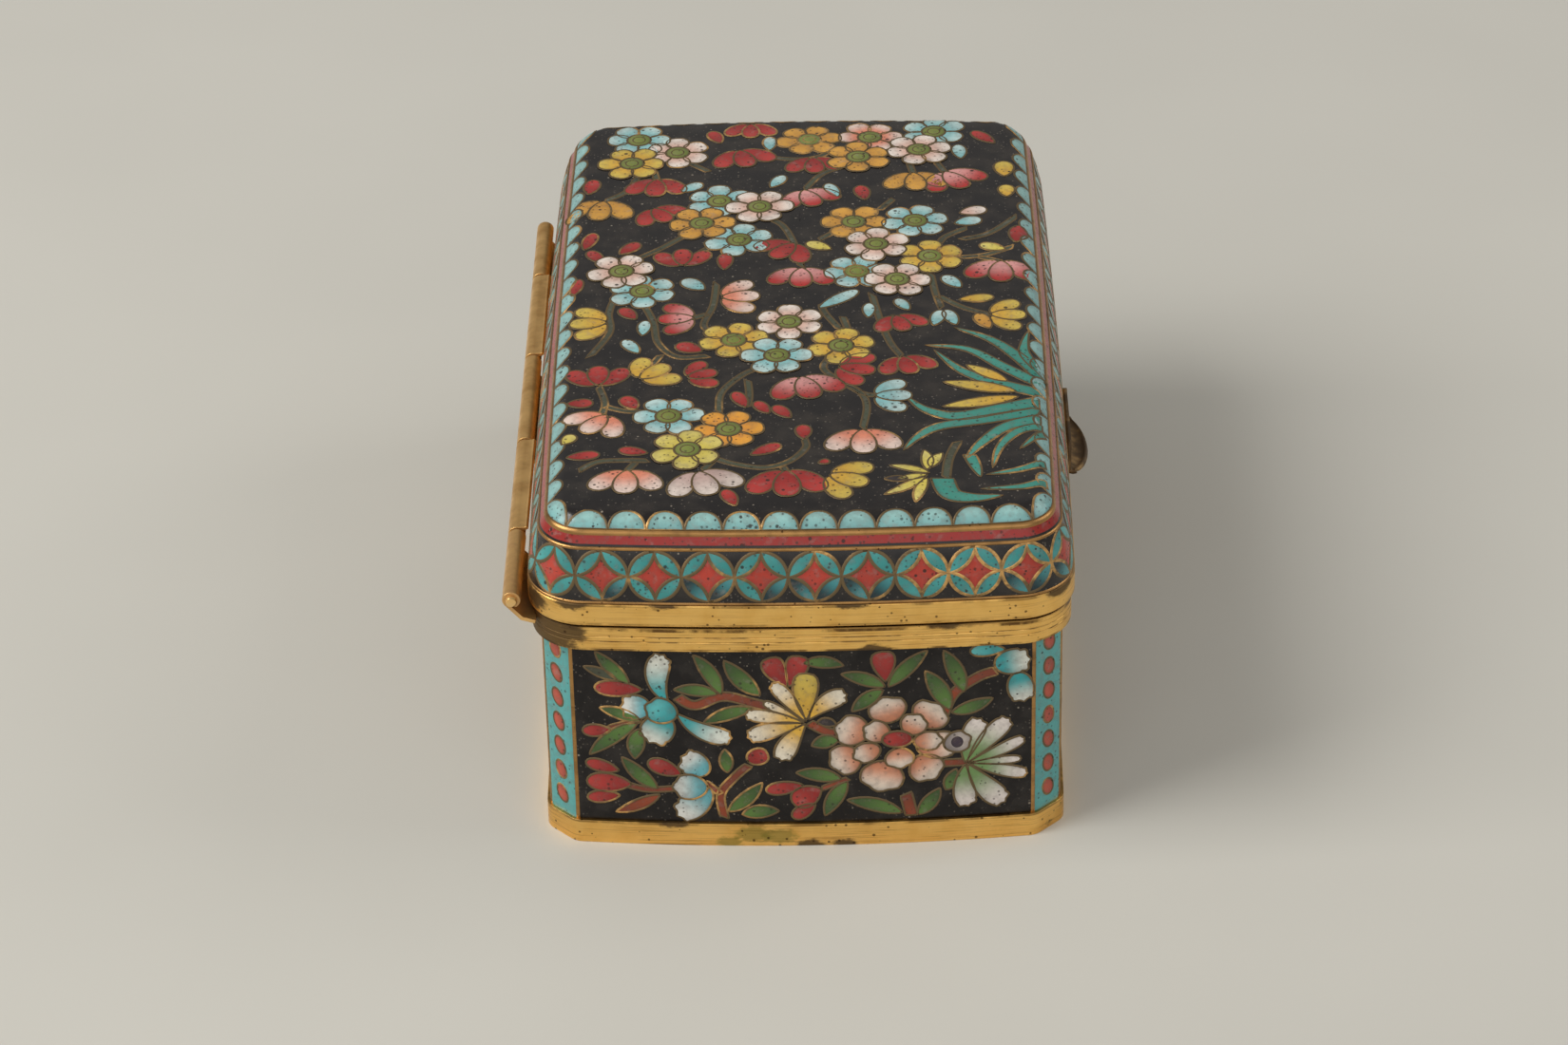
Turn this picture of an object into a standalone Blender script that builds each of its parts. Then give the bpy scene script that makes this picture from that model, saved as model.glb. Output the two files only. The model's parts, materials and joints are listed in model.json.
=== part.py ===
"""A small hinged cloisonne box, in metres.

X runs across the box, Y along it and Z up. The origin is the centre of the underside.
The hinge is along the left long side, at -X, and the thumb tongue is on the right one.
"""

import math
from collections import namedtuple

import bmesh
import bpy

# Outline of the lid, which the rim, the body and the foot follow inward
LID_WIDTH = 0.0540
LID_LENGTH = 0.0886
SIDE_BOW = 0.0003
END_BOW = 0.0008
CORNER_RADIUS = 0.0060
LID_OVERHANG = 0.0003
RIM_OVERHANG = 0.0009
BODY_END_BOW = 0.0012
BODY_CANT = 0.0028
FOOT_PROUD = 0.00035

# Heights, from the ground up
FOOT_HEIGHT = 0.0026
PANEL_HEIGHT = 0.0209
RIM_HEIGHT = 0.0027
SEAM = 0.0003
LID_RIM_HEIGHT = 0.0025
COIN_BAND_HEIGHT = 0.0058
LINE_BAND_HEIGHT = 0.0014
SHOULDER_RISE = 0.0012
CROWN = 0.0005

# How far the side of the lid has leaned in at each of its heights
LID_FOOT_INSET = 0.00015
COIN_BAND_INSET = 0.00147
LINE_BAND_INSET = 0.00228
SHOULDER_INSET = 0.0039
LEAN_POWER = 1.8
SHOULDER_POWER = 1.75
CROWN_REACH = 0.8

# Layers of a wall, from outside inward
ENAMEL = 0.0006
LAYER_GAP = 0.0003
METAL = 0.0007
LINING = 0.0005
FLOOR_METAL = 0.0008
FOOT_RING_WIDTH = 0.0012

# The lip of the base, which stands inside the rim of the lid
LIP_HEIGHT = 0.0014
LIP_THICKNESS = 0.0006
LIP_CLEARANCE = 0.0004

# Hinge
HINGE_MARGIN = 0.0065
HINGE_CENTER_Y = -0.0032
END_KNUCKLE_LENGTH = 0.0120
KNUCKLE_COUNT = 5
KNUCKLE_RADIUS = 0.00090
KNUCKLE_SPACING = 0.0003
HINGE_CLEARANCE = 0.00025
AXIS_ABOVE_SEAM = 0.0015
PIN_RADIUS = 0.00038
PIN_CLEARANCE = 0.00026
PIN_HEAD_RADIUS = 0.00058
PIN_HEAD_LENGTH = 0.0008
PIN_HEAD_REACH = 0.0005

# Webs that carry the knuckles. Slopes are shares of the knuckle's radius
WEB_THICKNESS = 0.0007
WEB_HEIGHT = 0.0017
WEB_FOOT = 0.0011
WEB_TOP_MARGIN = 0.0002
WEB_SIDE = 0.9
BASE_WEB_LEFT = 0.7
BASE_WEB_SHOULDER = 0.6
LID_WEB_LOW = 0.4
LID_WEB_SIDE = 0.75
LID_WEB_CREST = 0.1

# Thumb tongue
TONGUE_WIDTH = 0.0110
TONGUE_CENTER_Y = -0.0085
TONGUE_THICKNESS = 0.00045
TONGUE_DROP = 0.0034
TONGUE_REACH = 0.0019
TONGUE_CURL = 0.0008
TONGUE_TOP_MARGIN = 0.0003
TONGUE_ROLL = math.radians(135)
TONGUE_NARROWEST = 0.35

# Fineness of the outlines
CORNER_STEPS = 5
END_STEPS = 6
SIDE_STEPS = 8
BAND_STEPS = 4
SHOULDER_STEPS = 2
CROWN_STEPS = 3
ROUND_SIDES = 16
TONGUE_STEPS = 14
CURL_STEPS = 5
SHARP_EDGE = math.radians(30)
SMALLEST_CORNER = 0.0008
LEAST_STEP = 0.0001

PANEL_TOP = FOOT_HEIGHT + PANEL_HEIGHT
RIM_TOP = PANEL_TOP + RIM_HEIGHT
LID_BOTTOM = RIM_TOP + SEAM
LID_RIM_TOP = LID_BOTTOM + LID_RIM_HEIGHT
COIN_BAND_TOP = LID_RIM_TOP + COIN_BAND_HEIGHT
LINE_BAND_TOP = COIN_BAND_TOP + LINE_BAND_HEIGHT
SHOULDER_TOP = LINE_BAND_TOP + SHOULDER_RISE
METAL_FACE = ENAMEL + LAYER_GAP
METAL_BACK = METAL_FACE + METAL
LINING_FACE = METAL_BACK + LAYER_GAP
WALL = LINING_FACE + LINING
FLOOR_TOP = METAL_FACE + FLOOR_METAL
LIP_FACE = WALL + LIP_CLEARANCE
LIP_BACK = LIP_FACE + LIP_THICKNESS
HINGE_LENGTH = LID_LENGTH - 2 * HINGE_MARGIN
AXIS_X = -(LID_WIDTH / 2 + HINGE_CLEARANCE + KNUCKLE_RADIUS)
AXIS_Z = LID_BOTTOM - SEAM / 2 + AXIS_ABOVE_SEAM

Plan = namedtuple("Plan", "half_width half_length side_bow end_bow corner rounded")

LID_PLAN = Plan(LID_WIDTH / 2, LID_LENGTH / 2, SIDE_BOW, END_BOW, CORNER_RADIUS, True)
RIM_PLAN = LID_PLAN._replace(
    half_width=LID_PLAN.half_width - LID_OVERHANG,
    half_length=LID_PLAN.half_length - LID_OVERHANG,
    corner=CORNER_RADIUS - LID_OVERHANG,
)
BODY_PLAN = Plan(
    RIM_PLAN.half_width - RIM_OVERHANG,
    RIM_PLAN.half_length - RIM_OVERHANG,
    SIDE_BOW,
    BODY_END_BOW,
    BODY_CANT,
    False,
)


def clear_scene():
    for item in list(bpy.data.objects):
        bpy.data.objects.remove(item, do_unlink=True)


def new_collection(name):
    collection = bpy.data.collections.new(name)
    bpy.context.scene.collection.children.link(collection)
    return collection


def new_material(name, color, roughness, metallic):
    material = bpy.data.materials.new(name)
    material.use_nodes = True
    shader = material.node_tree.nodes["Principled BSDF"]
    shader.inputs["Base Color"].default_value = (*color, 1.0)
    shader.inputs["Roughness"].default_value = roughness
    shader.inputs["Metallic"].default_value = metallic
    return material


def corner_points(plan, inset):
    """Points of the corner at +X +Y, from the long side to the end, and their reach."""
    corner_x = plan.half_width - plan.side_bow - inset
    corner_y = plan.half_length - plan.end_bow - inset
    if plan.rounded:
        reach = max(plan.corner - inset, SMALLEST_CORNER)
    else:
        reach = plan.corner - inset * (2 - math.sqrt(2))
    points = []
    for step in range(CORNER_STEPS + 1):
        share = step / CORNER_STEPS
        if plan.rounded:
            angle = share * math.pi / 2
            points.append(
                (
                    corner_x - reach * (1 - math.cos(angle)),
                    corner_y - reach * (1 - math.sin(angle)),
                )
            )
        else:
            points.append((corner_x - reach * share, corner_y - reach * (1 - share)))
    return points


def outline(plan, inset=0.0):
    """The closed outline of a plan moved inward, with the same point count for any inset."""
    corner = corner_points(plan, inset)
    end_x, end_y = corner[-1]
    side_x, side_y = corner[0]
    half = list(corner)
    for step in range(1, END_STEPS):
        share = 1 - 2 * step / END_STEPS
        half.append((end_x * share, end_y + plan.end_bow * (1 - share**2)))
    half += [(-x, y) for x, y in reversed(corner)]
    for step in range(1, SIDE_STEPS):
        share = 1 - 2 * step / SIDE_STEPS
        half.append((-side_x - plan.side_bow * (1 - share**2), side_y * share))
    return half + [(-x, -y) for x, y in half]


def skin(name, sections, collection, closed=False):
    """A body skinned over a row of sections, each a plan, an inset and a height.

    The first and the last section are capped, or joined to each other when closed.
    """
    body = bmesh.new()
    rings = []
    for plan, inset, height in sections:
        rings.append([body.verts.new((x, y, height)) for x, y in outline(plan, inset)])
    pairs = list(zip(rings, rings[1:]))
    if closed:
        pairs.append((rings[-1], rings[0]))
    for ring, following in pairs:
        count = len(ring)
        for index in range(count):
            beside = (index + 1) % count
            body.faces.new((ring[index], ring[beside], following[beside], following[index]))
    if not closed:
        body.faces.new(rings[0])
        body.faces.new(rings[-1])
    bmesh.ops.recalc_face_normals(body, faces=body.faces)
    return finish_body(name, body, collection)


def finish_body(name, body, collection):
    mesh = bpy.data.meshes.new(name)
    body.to_mesh(mesh)
    body.free()
    item = bpy.data.objects.new(name, mesh)
    collection.objects.link(item)
    return item


def cylinder(name, radius, start_y, end_y, collection):
    """A round bar along the hinge axis."""
    body = bmesh.new()
    bmesh.ops.create_cone(
        body,
        cap_ends=True,
        segments=ROUND_SIDES,
        radius1=radius,
        radius2=radius,
        depth=end_y - start_y,
    )
    item = finish_body(name, body, collection)
    item.rotation_euler.x = math.pi / 2
    item.location = (AXIS_X, (start_y + end_y) / 2, AXIS_Z)
    return item


def side_plate(name, points, start_y, end_y, collection):
    """A flat outline in X and Z, given thickness along Y."""
    body = bmesh.new()
    front = [body.verts.new((x, start_y, z)) for x, z in points]
    face = body.faces.new(front)
    pulled = bmesh.ops.extrude_face_region(body, geom=[face])
    back = [item for item in pulled["geom"] if isinstance(item, bmesh.types.BMVert)]
    bmesh.ops.translate(body, verts=back, vec=(0, end_y - start_y, 0))
    bmesh.ops.recalc_face_normals(body, faces=body.faces)
    return finish_body(name, body, collection)


def as_cutter(item):
    item.hide_render = True
    item.display_type = "WIRE"
    return item


def combine(item, other, operation):
    modifier = item.modifiers.new(other.name, "BOOLEAN")
    modifier.operation = operation
    modifier.solver = "EXACT"
    modifier.object = other


def lid_face():
    """Inset and height of the outer face of the lid, from above its rim to the crown."""
    points = []
    for step in range(BAND_STEPS + 1):
        share = step / BAND_STEPS
        lean = (COIN_BAND_INSET - LID_FOOT_INSET) * share**LEAN_POWER
        points.append((LID_FOOT_INSET + lean, LID_RIM_TOP + COIN_BAND_HEIGHT * share))
    points.append((LINE_BAND_INSET, LINE_BAND_TOP))
    for step in range(1, SHOULDER_STEPS + 1):
        share = step / SHOULDER_STEPS
        inset = LINE_BAND_INSET + (SHOULDER_INSET - LINE_BAND_INSET) * share
        rise = SHOULDER_RISE * (1 - (1 - share) ** SHOULDER_POWER)
        points.append((inset, LINE_BAND_TOP + rise))
    half = LID_WIDTH / 2 - SIDE_BOW
    for step in range(1, CROWN_STEPS + 1):
        inset = SHOULDER_INSET + (half - SHOULDER_INSET) * CROWN_REACH * step / CROWN_STEPS
        left = (half - inset) / (half - SHOULDER_INSET)
        points.append((inset, SHOULDER_TOP + CROWN * (1 - left**2)))
    return points


def behind(face, depth):
    """A face moved inward by a depth, square to itself, that never folds back."""
    moved = []
    last = len(face) - 1
    for index, (inset, height) in enumerate(face):
        before = face[max(index - 1, 0)]
        after = face[min(index + 1, last)]
        along = (after[0] - before[0], after[1] - before[1])
        size = math.hypot(*along)
        inward = (along[1] / size, -along[0] / size)
        if index == 0:
            inward = (1.0, 0.0)
        elif index == last:
            inward = (0.0, -1.0)
        inset += inward[0] * depth
        height += inward[1] * depth
        if moved:
            inset = max(inset, moved[-1][0] + LEAST_STEP)
            height = max(height, moved[-1][1])
        moved.append((inset, height))
    return moved


def on_plan(plan, points):
    return [(plan, inset, height) for inset, height in points]


def lid_layer(name, front, back, bottom, collection):
    """One layer of the lid between two depths, open below."""
    outer = behind(lid_face(), front)
    inner = behind(lid_face(), back)
    outer[0] = (outer[0][0], bottom)
    inner[0] = (inner[0][0], bottom)
    sections = list(reversed(outer)) + inner
    return skin(name, on_plan(LID_PLAN, sections), collection)


def make_base_metal(collection):
    """The gilt tray: foot band, walls under the enamel, rim band and lip, in one body."""
    sections = on_plan(
        BODY_PLAN,
        [
            (FOOT_RING_WIDTH, METAL_FACE),
            (FOOT_RING_WIDTH, 0.0),
            (-FOOT_PROUD, 0.0),
            (-FOOT_PROUD, FOOT_HEIGHT),
            (METAL_FACE, FOOT_HEIGHT),
            (METAL_FACE, PANEL_TOP),
        ],
    )
    sections += on_plan(RIM_PLAN, [(0.0, PANEL_TOP), (0.0, RIM_TOP)])
    sections += on_plan(
        LID_PLAN,
        [
            (LIP_FACE, RIM_TOP),
            (LIP_FACE, RIM_TOP + LIP_HEIGHT),
            (LIP_BACK, RIM_TOP + LIP_HEIGHT),
            (LIP_BACK, PANEL_TOP),
        ],
    )
    sections += on_plan(BODY_PLAN, [(METAL_BACK, PANEL_TOP), (METAL_BACK, FLOOR_TOP)])
    return skin("base_metal", sections, collection)


def make_base_enamel(collection):
    """The enamel of the four sides and the canted corners, a closed band."""
    low = FOOT_HEIGHT + LAYER_GAP
    high = PANEL_TOP - LAYER_GAP
    sections = [(0.0, low), (0.0, high), (ENAMEL, high), (ENAMEL, low)]
    return skin("base_enamel", on_plan(BODY_PLAN, sections), collection, closed=True)


def make_base_lining(collection):
    """The counter-enamel inside the base, a thin tray."""
    low = FLOOR_TOP + LAYER_GAP
    high = PANEL_TOP - LAYER_GAP
    sections = [(LINING_FACE, low), (LINING_FACE, high), (WALL, high), (WALL, low + LINING)]
    return skin("base_lining", on_plan(BODY_PLAN, sections), collection)


def make_base_underside(collection):
    """The counter-enamel plate inside the foot ring, level with the ground."""
    inset = FOOT_RING_WIDTH + LAYER_GAP
    sections = [(inset, 0.0), (inset, ENAMEL)]
    return skin("base_underside", on_plan(BODY_PLAN, sections), collection)


def make_lid_metal(collection):
    """The gilt rim band of the lid and the metal shell above it."""
    outer = behind(lid_face(), METAL_FACE)
    inner = behind(lid_face(), METAL_BACK)
    rim = [(0.0, LID_RIM_TOP), (0.0, LID_BOTTOM), (WALL, LID_BOTTOM), (WALL, LID_RIM_TOP)]
    sections = list(reversed(outer)) + rim + inner
    return skin("lid_metal", on_plan(LID_PLAN, sections), collection)


def knuckle_spans():
    """Start and end along Y of each knuckle, front to back, without the spacing."""
    middle_count = KNUCKLE_COUNT - 2
    middle = (HINGE_LENGTH - 2 * END_KNUCKLE_LENGTH) / middle_count
    lengths = [END_KNUCKLE_LENGTH] + [middle] * middle_count + [END_KNUCKLE_LENGTH]
    start = HINGE_CENTER_Y - HINGE_LENGTH / 2
    spans = []
    for length in lengths:
        spans.append((start + KNUCKLE_SPACING / 2, start + length - KNUCKLE_SPACING / 2))
        start += length
    return spans


def base_web():
    """Outline of the web from a knuckle down to the rim of the base."""
    rim_x = -RIM_PLAN.half_width
    inside = rim_x + SIDE_BOW + WEB_THICKNESS
    high = RIM_TOP - WEB_TOP_MARGIN
    low = high - WEB_HEIGHT
    right = AXIS_X + KNUCKLE_RADIUS * WEB_SIDE
    return [
        (AXIS_X - KNUCKLE_RADIUS * BASE_WEB_LEFT, AXIS_Z - KNUCKLE_RADIUS * BASE_WEB_SHOULDER),
        (rim_x - WEB_FOOT, low),
        (inside, low),
        (inside, high),
        (right, high),
        (right, AXIS_Z),
    ]


def lid_web():
    """Outline of the web from a knuckle across to the rim of the lid."""
    inside = -LID_PLAN.half_width + SIDE_BOW + WEB_THICKNESS
    low = AXIS_Z - KNUCKLE_RADIUS * LID_WEB_LOW
    high = LID_RIM_TOP - WEB_TOP_MARGIN
    return [
        (AXIS_X + KNUCKLE_RADIUS * LID_WEB_SIDE, low),
        (inside, low),
        (inside, high),
        (AXIS_X + KNUCKLE_RADIUS * WEB_SIDE, high),
        (AXIS_X + KNUCKLE_RADIUS * LID_WEB_CREST, AXIS_Z + KNUCKLE_RADIUS * WEB_SIDE),
    ]


def make_knuckles(collection, cutters):
    """The hinge tubes, the odd ones on the base and the even ones on the lid."""
    base_trim = skin(
        "base_rim_room",
        on_plan(RIM_PLAN, [(-LAYER_GAP, PANEL_TOP - LAYER_GAP), (-LAYER_GAP, RIM_TOP + LAYER_GAP)]),
        cutters,
    )
    lid_trim = skin(
        "lid_rim_room",
        on_plan(LID_PLAN, [(-LAYER_GAP, LID_BOTTOM - SEAM), (-LAYER_GAP, LID_RIM_TOP + SEAM)]),
        cutters,
    )
    bore = cylinder(
        "hinge_bore", PIN_RADIUS + PIN_CLEARANCE, -HINGE_LENGTH, HINGE_LENGTH, cutters
    )
    for helper in (base_trim, lid_trim, bore):
        as_cutter(helper)
    knuckles = []
    for number, (start, end) in enumerate(knuckle_spans(), start=1):
        on_base = number % 2 == 1
        knuckle = cylinder(f"knuckle_{number}", KNUCKLE_RADIUS, start, end, collection)
        points = base_web() if on_base else lid_web()
        web = side_plate(f"web_{number}", points, start, end, cutters)
        combine(knuckle, as_cutter(web), "UNION")
        combine(knuckle, base_trim if on_base else lid_trim, "DIFFERENCE")
        combine(knuckle, bore, "DIFFERENCE")
        knuckles.append(knuckle)
    return knuckles


def make_hinge_pin(collection, cutters):
    """The pin, with its front end hammered into a head just outside the first knuckle."""
    spans = knuckle_spans()
    front = spans[0][0]
    pin = cylinder("hinge_pin", PIN_RADIUS, front, spans[-1][1], collection)
    head_start = front - PIN_HEAD_REACH
    head = cylinder("pin_head", PIN_HEAD_RADIUS, head_start, head_start + PIN_HEAD_LENGTH, cutters)
    combine(pin, as_cutter(head), "UNION")
    return pin


def make_thumb_tongue(collection):
    """A strap down from the lid rim that curls out into a half-round dished end."""
    face_x = LID_PLAN.half_width + LAYER_GAP + TONGUE_THICKNESS / 2
    top = LID_RIM_TOP - TONGUE_TOP_MARGIN
    body = bmesh.new()
    bottom = top - TONGUE_DROP
    rows = []
    for step in range(TONGUE_STEPS + 1):
        across = 1 - 2 * step / TONGUE_STEPS
        share = max(math.sqrt(1 - across**2), TONGUE_NARROWEST)
        y = TONGUE_CENTER_Y + across * TONGUE_WIDTH / 2
        row = [body.verts.new((face_x, y, top))]
        for curl in range(CURL_STEPS + 1):
            angle = curl / CURL_STEPS * TONGUE_ROLL
            sweep = (1 - math.cos(angle)) / (1 - math.cos(TONGUE_ROLL))
            reach = TONGUE_REACH * share * sweep
            lift = TONGUE_CURL * share * math.sin(angle)
            row.append(body.verts.new((face_x + reach, y, bottom - lift)))
        rows.append(row)
    for row, following in zip(rows, rows[1:]):
        for index in range(len(row) - 1):
            body.faces.new((row[index], following[index], following[index + 1], row[index + 1]))
    tongue = finish_body("thumb_tongue", body, collection)
    shell = tongue.modifiers.new("thickness", "SOLIDIFY")
    shell.thickness = TONGUE_THICKNESS
    shell.offset = 0.0
    return tongue


def paint(items, material):
    for item in items:
        item.data.materials.append(material)
        item.data.shade_smooth()
        item.data.set_sharp_from_angle(angle=SHARP_EDGE)


def hang_on_axis(items, collection):
    """Parents the moving pieces to an empty on the hinge axis, and leaves them in place."""
    axis = bpy.data.objects.new("lid_axis", None)
    axis.location = (AXIS_X, 0.0, AXIS_Z)
    collection.objects.link(axis)
    for item in items:
        item.parent = axis
        item.location -= axis.location


def build():
    clear_scene()
    box = new_collection("cloisonne_box")
    cutters = new_collection("cutters")

    base_metal = make_base_metal(box)
    base_enamel = make_base_enamel(box)
    base_lining = make_base_lining(box)
    base_underside = make_base_underside(box)
    lid_metal = make_lid_metal(box)
    lid_enamel = lid_layer("lid_enamel", 0.0, ENAMEL, LID_RIM_TOP + LAYER_GAP, box)
    lid_lining = lid_layer("lid_lining", LINING_FACE, WALL, LID_RIM_TOP + LAYER_GAP, box)
    knuckles = make_knuckles(box, cutters)
    pin = make_hinge_pin(box, cutters)
    tongue = make_thumb_tongue(box)

    gilt = new_material("gilt_brass", (0.72, 0.47, 0.16), 0.3, 1.0)
    brass = new_material("worn_brass", (0.55, 0.34, 0.14), 0.4, 1.0)
    black = new_material("black_enamel", (0.012, 0.011, 0.014), 0.15, 0.0)
    turquoise = new_material("turquoise_enamel", (0.10, 0.42, 0.42), 0.2, 0.0)
    paint([base_metal, lid_metal], gilt)
    paint([*knuckles, pin, tongue], brass)
    paint([base_enamel, lid_enamel], black)
    paint([base_lining, base_underside, lid_lining], turquoise)

    lid_knuckles = knuckles[1::2]
    hang_on_axis([lid_metal, lid_enamel, lid_lining, *lid_knuckles, tongue], box)


build()
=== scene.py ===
"""The cloisonne enamel box as it looks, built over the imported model.

The model's frame is kept: X runs across the box from the hinge to the thumb tongue, Y along
it and Z up, in metres. The layouts of the enamel are written in millimetres.
"""

import json
import math
import random
from collections import namedtuple

import bmesh
import bpy
import numpy as np
from mathutils import Matrix, Vector


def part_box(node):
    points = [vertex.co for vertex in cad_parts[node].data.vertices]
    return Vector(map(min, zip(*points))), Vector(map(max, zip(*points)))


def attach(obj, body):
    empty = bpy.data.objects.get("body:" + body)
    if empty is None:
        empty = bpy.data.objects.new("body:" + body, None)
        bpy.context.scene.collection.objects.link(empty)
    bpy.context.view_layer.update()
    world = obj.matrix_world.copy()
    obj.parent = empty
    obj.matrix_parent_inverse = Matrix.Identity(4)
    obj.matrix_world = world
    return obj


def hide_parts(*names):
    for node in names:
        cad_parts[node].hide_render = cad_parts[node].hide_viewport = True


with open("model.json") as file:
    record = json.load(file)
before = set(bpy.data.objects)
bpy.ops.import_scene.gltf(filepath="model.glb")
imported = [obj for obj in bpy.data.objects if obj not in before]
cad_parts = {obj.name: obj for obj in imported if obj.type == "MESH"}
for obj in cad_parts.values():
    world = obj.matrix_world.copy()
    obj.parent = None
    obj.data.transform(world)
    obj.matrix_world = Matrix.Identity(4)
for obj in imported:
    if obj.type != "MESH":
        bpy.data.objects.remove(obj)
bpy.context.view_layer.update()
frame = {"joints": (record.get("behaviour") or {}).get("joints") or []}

MM = 0.001

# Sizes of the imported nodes
LID_RIM_LOW, LID_RIM_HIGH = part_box("lid_metal")
LID_ENAMEL_LOW, LID_ENAMEL_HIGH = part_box("lid_enamel")
_, TRAY_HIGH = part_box("base_metal")
PANEL_LOW, PANEL_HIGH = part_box("base_enamel")
PIN_LOW, PIN_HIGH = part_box("hinge_pin")
TONGUE_LOW, TONGUE_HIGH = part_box("thumb_tongue")

# Layers of the model and the outline that all of them follow
LAYER_GAP = 0.0003
ENAMEL = 0.0006
METAL_BACK = 0.0016
LINING = 0.0005
WALL = 0.0024
SIDE_BOW = 0.0003
END_BOW = 0.0008
BODY_END_BOW = 0.0012
LID_CORNER = 0.0060
BODY_CANT = 0.0028
FOOT_PROUD = 0.00035
FOOT_RING_WIDTH = 0.0012
SMALLEST_CORNER = 0.0008
CANT_SOFTNESS = 0.0009
CANT_SHARE = 0.64

# Heights
FOOT_TOP = PANEL_LOW[2] - LAYER_GAP
PANEL_TOP = PANEL_HIGH[2] + LAYER_GAP
LIP_HEIGHT = 0.0014
LIP_CLEARANCE = 0.0004
LIP_THICKNESS = 0.0006
RIM_TOP = TRAY_HIGH[2] - LIP_HEIGHT
LID_BOTTOM = LID_RIM_LOW[2]
LID_RIM_TOP = LID_ENAMEL_LOW[2] - LAYER_GAP
COIN_BAND_HEIGHT = 0.0058
LINE_BAND_HEIGHT = 0.0014
SHOULDER_RISE = 0.0012
COIN_BAND_TOP = LID_RIM_TOP + COIN_BAND_HEIGHT
LINE_BAND_TOP = COIN_BAND_TOP + LINE_BAND_HEIGHT
SHOULDER_TOP = LINE_BAND_TOP + SHOULDER_RISE
RELIEF_ROOM = 0.00015
CROWN = LID_ENAMEL_HIGH[2] - SHOULDER_TOP - RELIEF_ROOM

# How far the side of the lid has leaned in at each height
LID_FOOT_INSET = 0.00015
COIN_BAND_INSET = 0.00147
LINE_BAND_INSET = 0.00228
SHOULDER_INSET = 0.0039
LEAN_POWER = 1.8
SHOULDER_POWER = 1.75

LID_ENAMEL_FOOT = WALL / 3
CROWN_RINGS = (0.12, 0.25, 0.4, 0.55, 0.7, 0.85, 0.97)

# Fineness of the outlines
CORNER_STEPS = 18
END_STEPS = 36
SIDE_STEPS = 48

# Wires and cells, in millimetres
WIRE_WIDTH = 0.26
COIN_WIRE_WIDTH = 0.38
OVAL_WIRE_WIDTH = 0.24
HEART_WIRE_WIDTH = 0.2
WIRE_HEIGHT = 0.035
CELL_HEIGHT = 0.022
LAYER_STEP = 0.028
STEM_WIDTH = 0.62
BORDER_HEIGHT = 0.10
UPPER_WIRE_WIDTH = 0.72
LOWER_WIRE_WIDTH = 0.40
FOOT_WIRE_WIDTH = 0.30
BAR_WIDTH = 0.46
BAR_HEIGHT = 0.09
# Places across a wire as shares of its width, and their lift as shares of its height
WIRE_PROFILE = ((-0.5, -0.3), (-0.3, 1.0), (0.3, 1.0), (0.5, -0.3))

# Heights of the wires and the red line above the coin band, in millimetres
LOWER_WIRE_UP = -0.26
RED_LINE_LOW = 0.16
RED_LINE_HIGH = 1.1
UPPER_WIRE_UP = 1.3

# Repeats of the bands, in millimetres
COIN_PITCH = 5.15
COIN_START = 1.4
LENS_HOLLOW = 0.85
LENS_MOTTLED = 0.45
SCALLOP_PITCH = 3.68
OVAL_COUNT = 7
OVAL_TILT = 18
# Rings of a cell from its middle line to its edge: reach, lift and shade as shares. The darkening
# toward the edge is painted shade beside the wires, partly dirt.
CELL_RINGS = ((0.0, 1.0, 1.0), (0.45, 1.0, 1.0), (0.84, 0.8, 0.8), (1.0, 0.1, 0.3))

# How much lighter or darker one cell is than the next, and where along a cell its colour
# starts to change and how far it takes, as shares
CELL_LIGHTS = (-0.09, 0.07)
BLEND_START = 0.2
BLEND_SPAN = 0.7

# Roundings of the sharp edges
SHARP_ANGLE = math.radians(35)
PANEL_BEVEL = 0.00012
TRAY_BEVEL = 0.00022
LID_RIM_BEVEL = 0.0002
LINING_BEVEL = 0.00018
LID_LINING_BEVEL = 0.0003
KNUCKLE_BEVEL = 0.00008

Plan = namedtuple("Plan", "half_width half_length side_bow end_bow corner rounded")
Effects = namedtuple("Effects", "pinholes clouding scoring local_stain level_line")

LID_PLAN = Plan(LID_RIM_HIGH[0], LID_RIM_HIGH[1], SIDE_BOW, END_BOW, LID_CORNER, True)
RIM_PLAN = LID_PLAN._replace(
    half_width=TRAY_HIGH[0],
    half_length=TRAY_HIGH[1],
    corner=LID_CORNER - (LID_RIM_HIGH[0] - TRAY_HIGH[0]),
)
BODY_PLAN = Plan(PANEL_HIGH[0], PANEL_HIGH[1], SIDE_BOW, BODY_END_BOW, BODY_CANT, False)

chance = random.Random(7)


def linear(red, green, blue):
    """A colour given as it looks on screen, from 0 to 255, as light."""
    shares = np.array((red, green, blue)) / 255
    return np.where(shares > 0.04045, ((shares + 0.055) / 1.055) ** 2.4, shares / 12.92)


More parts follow.
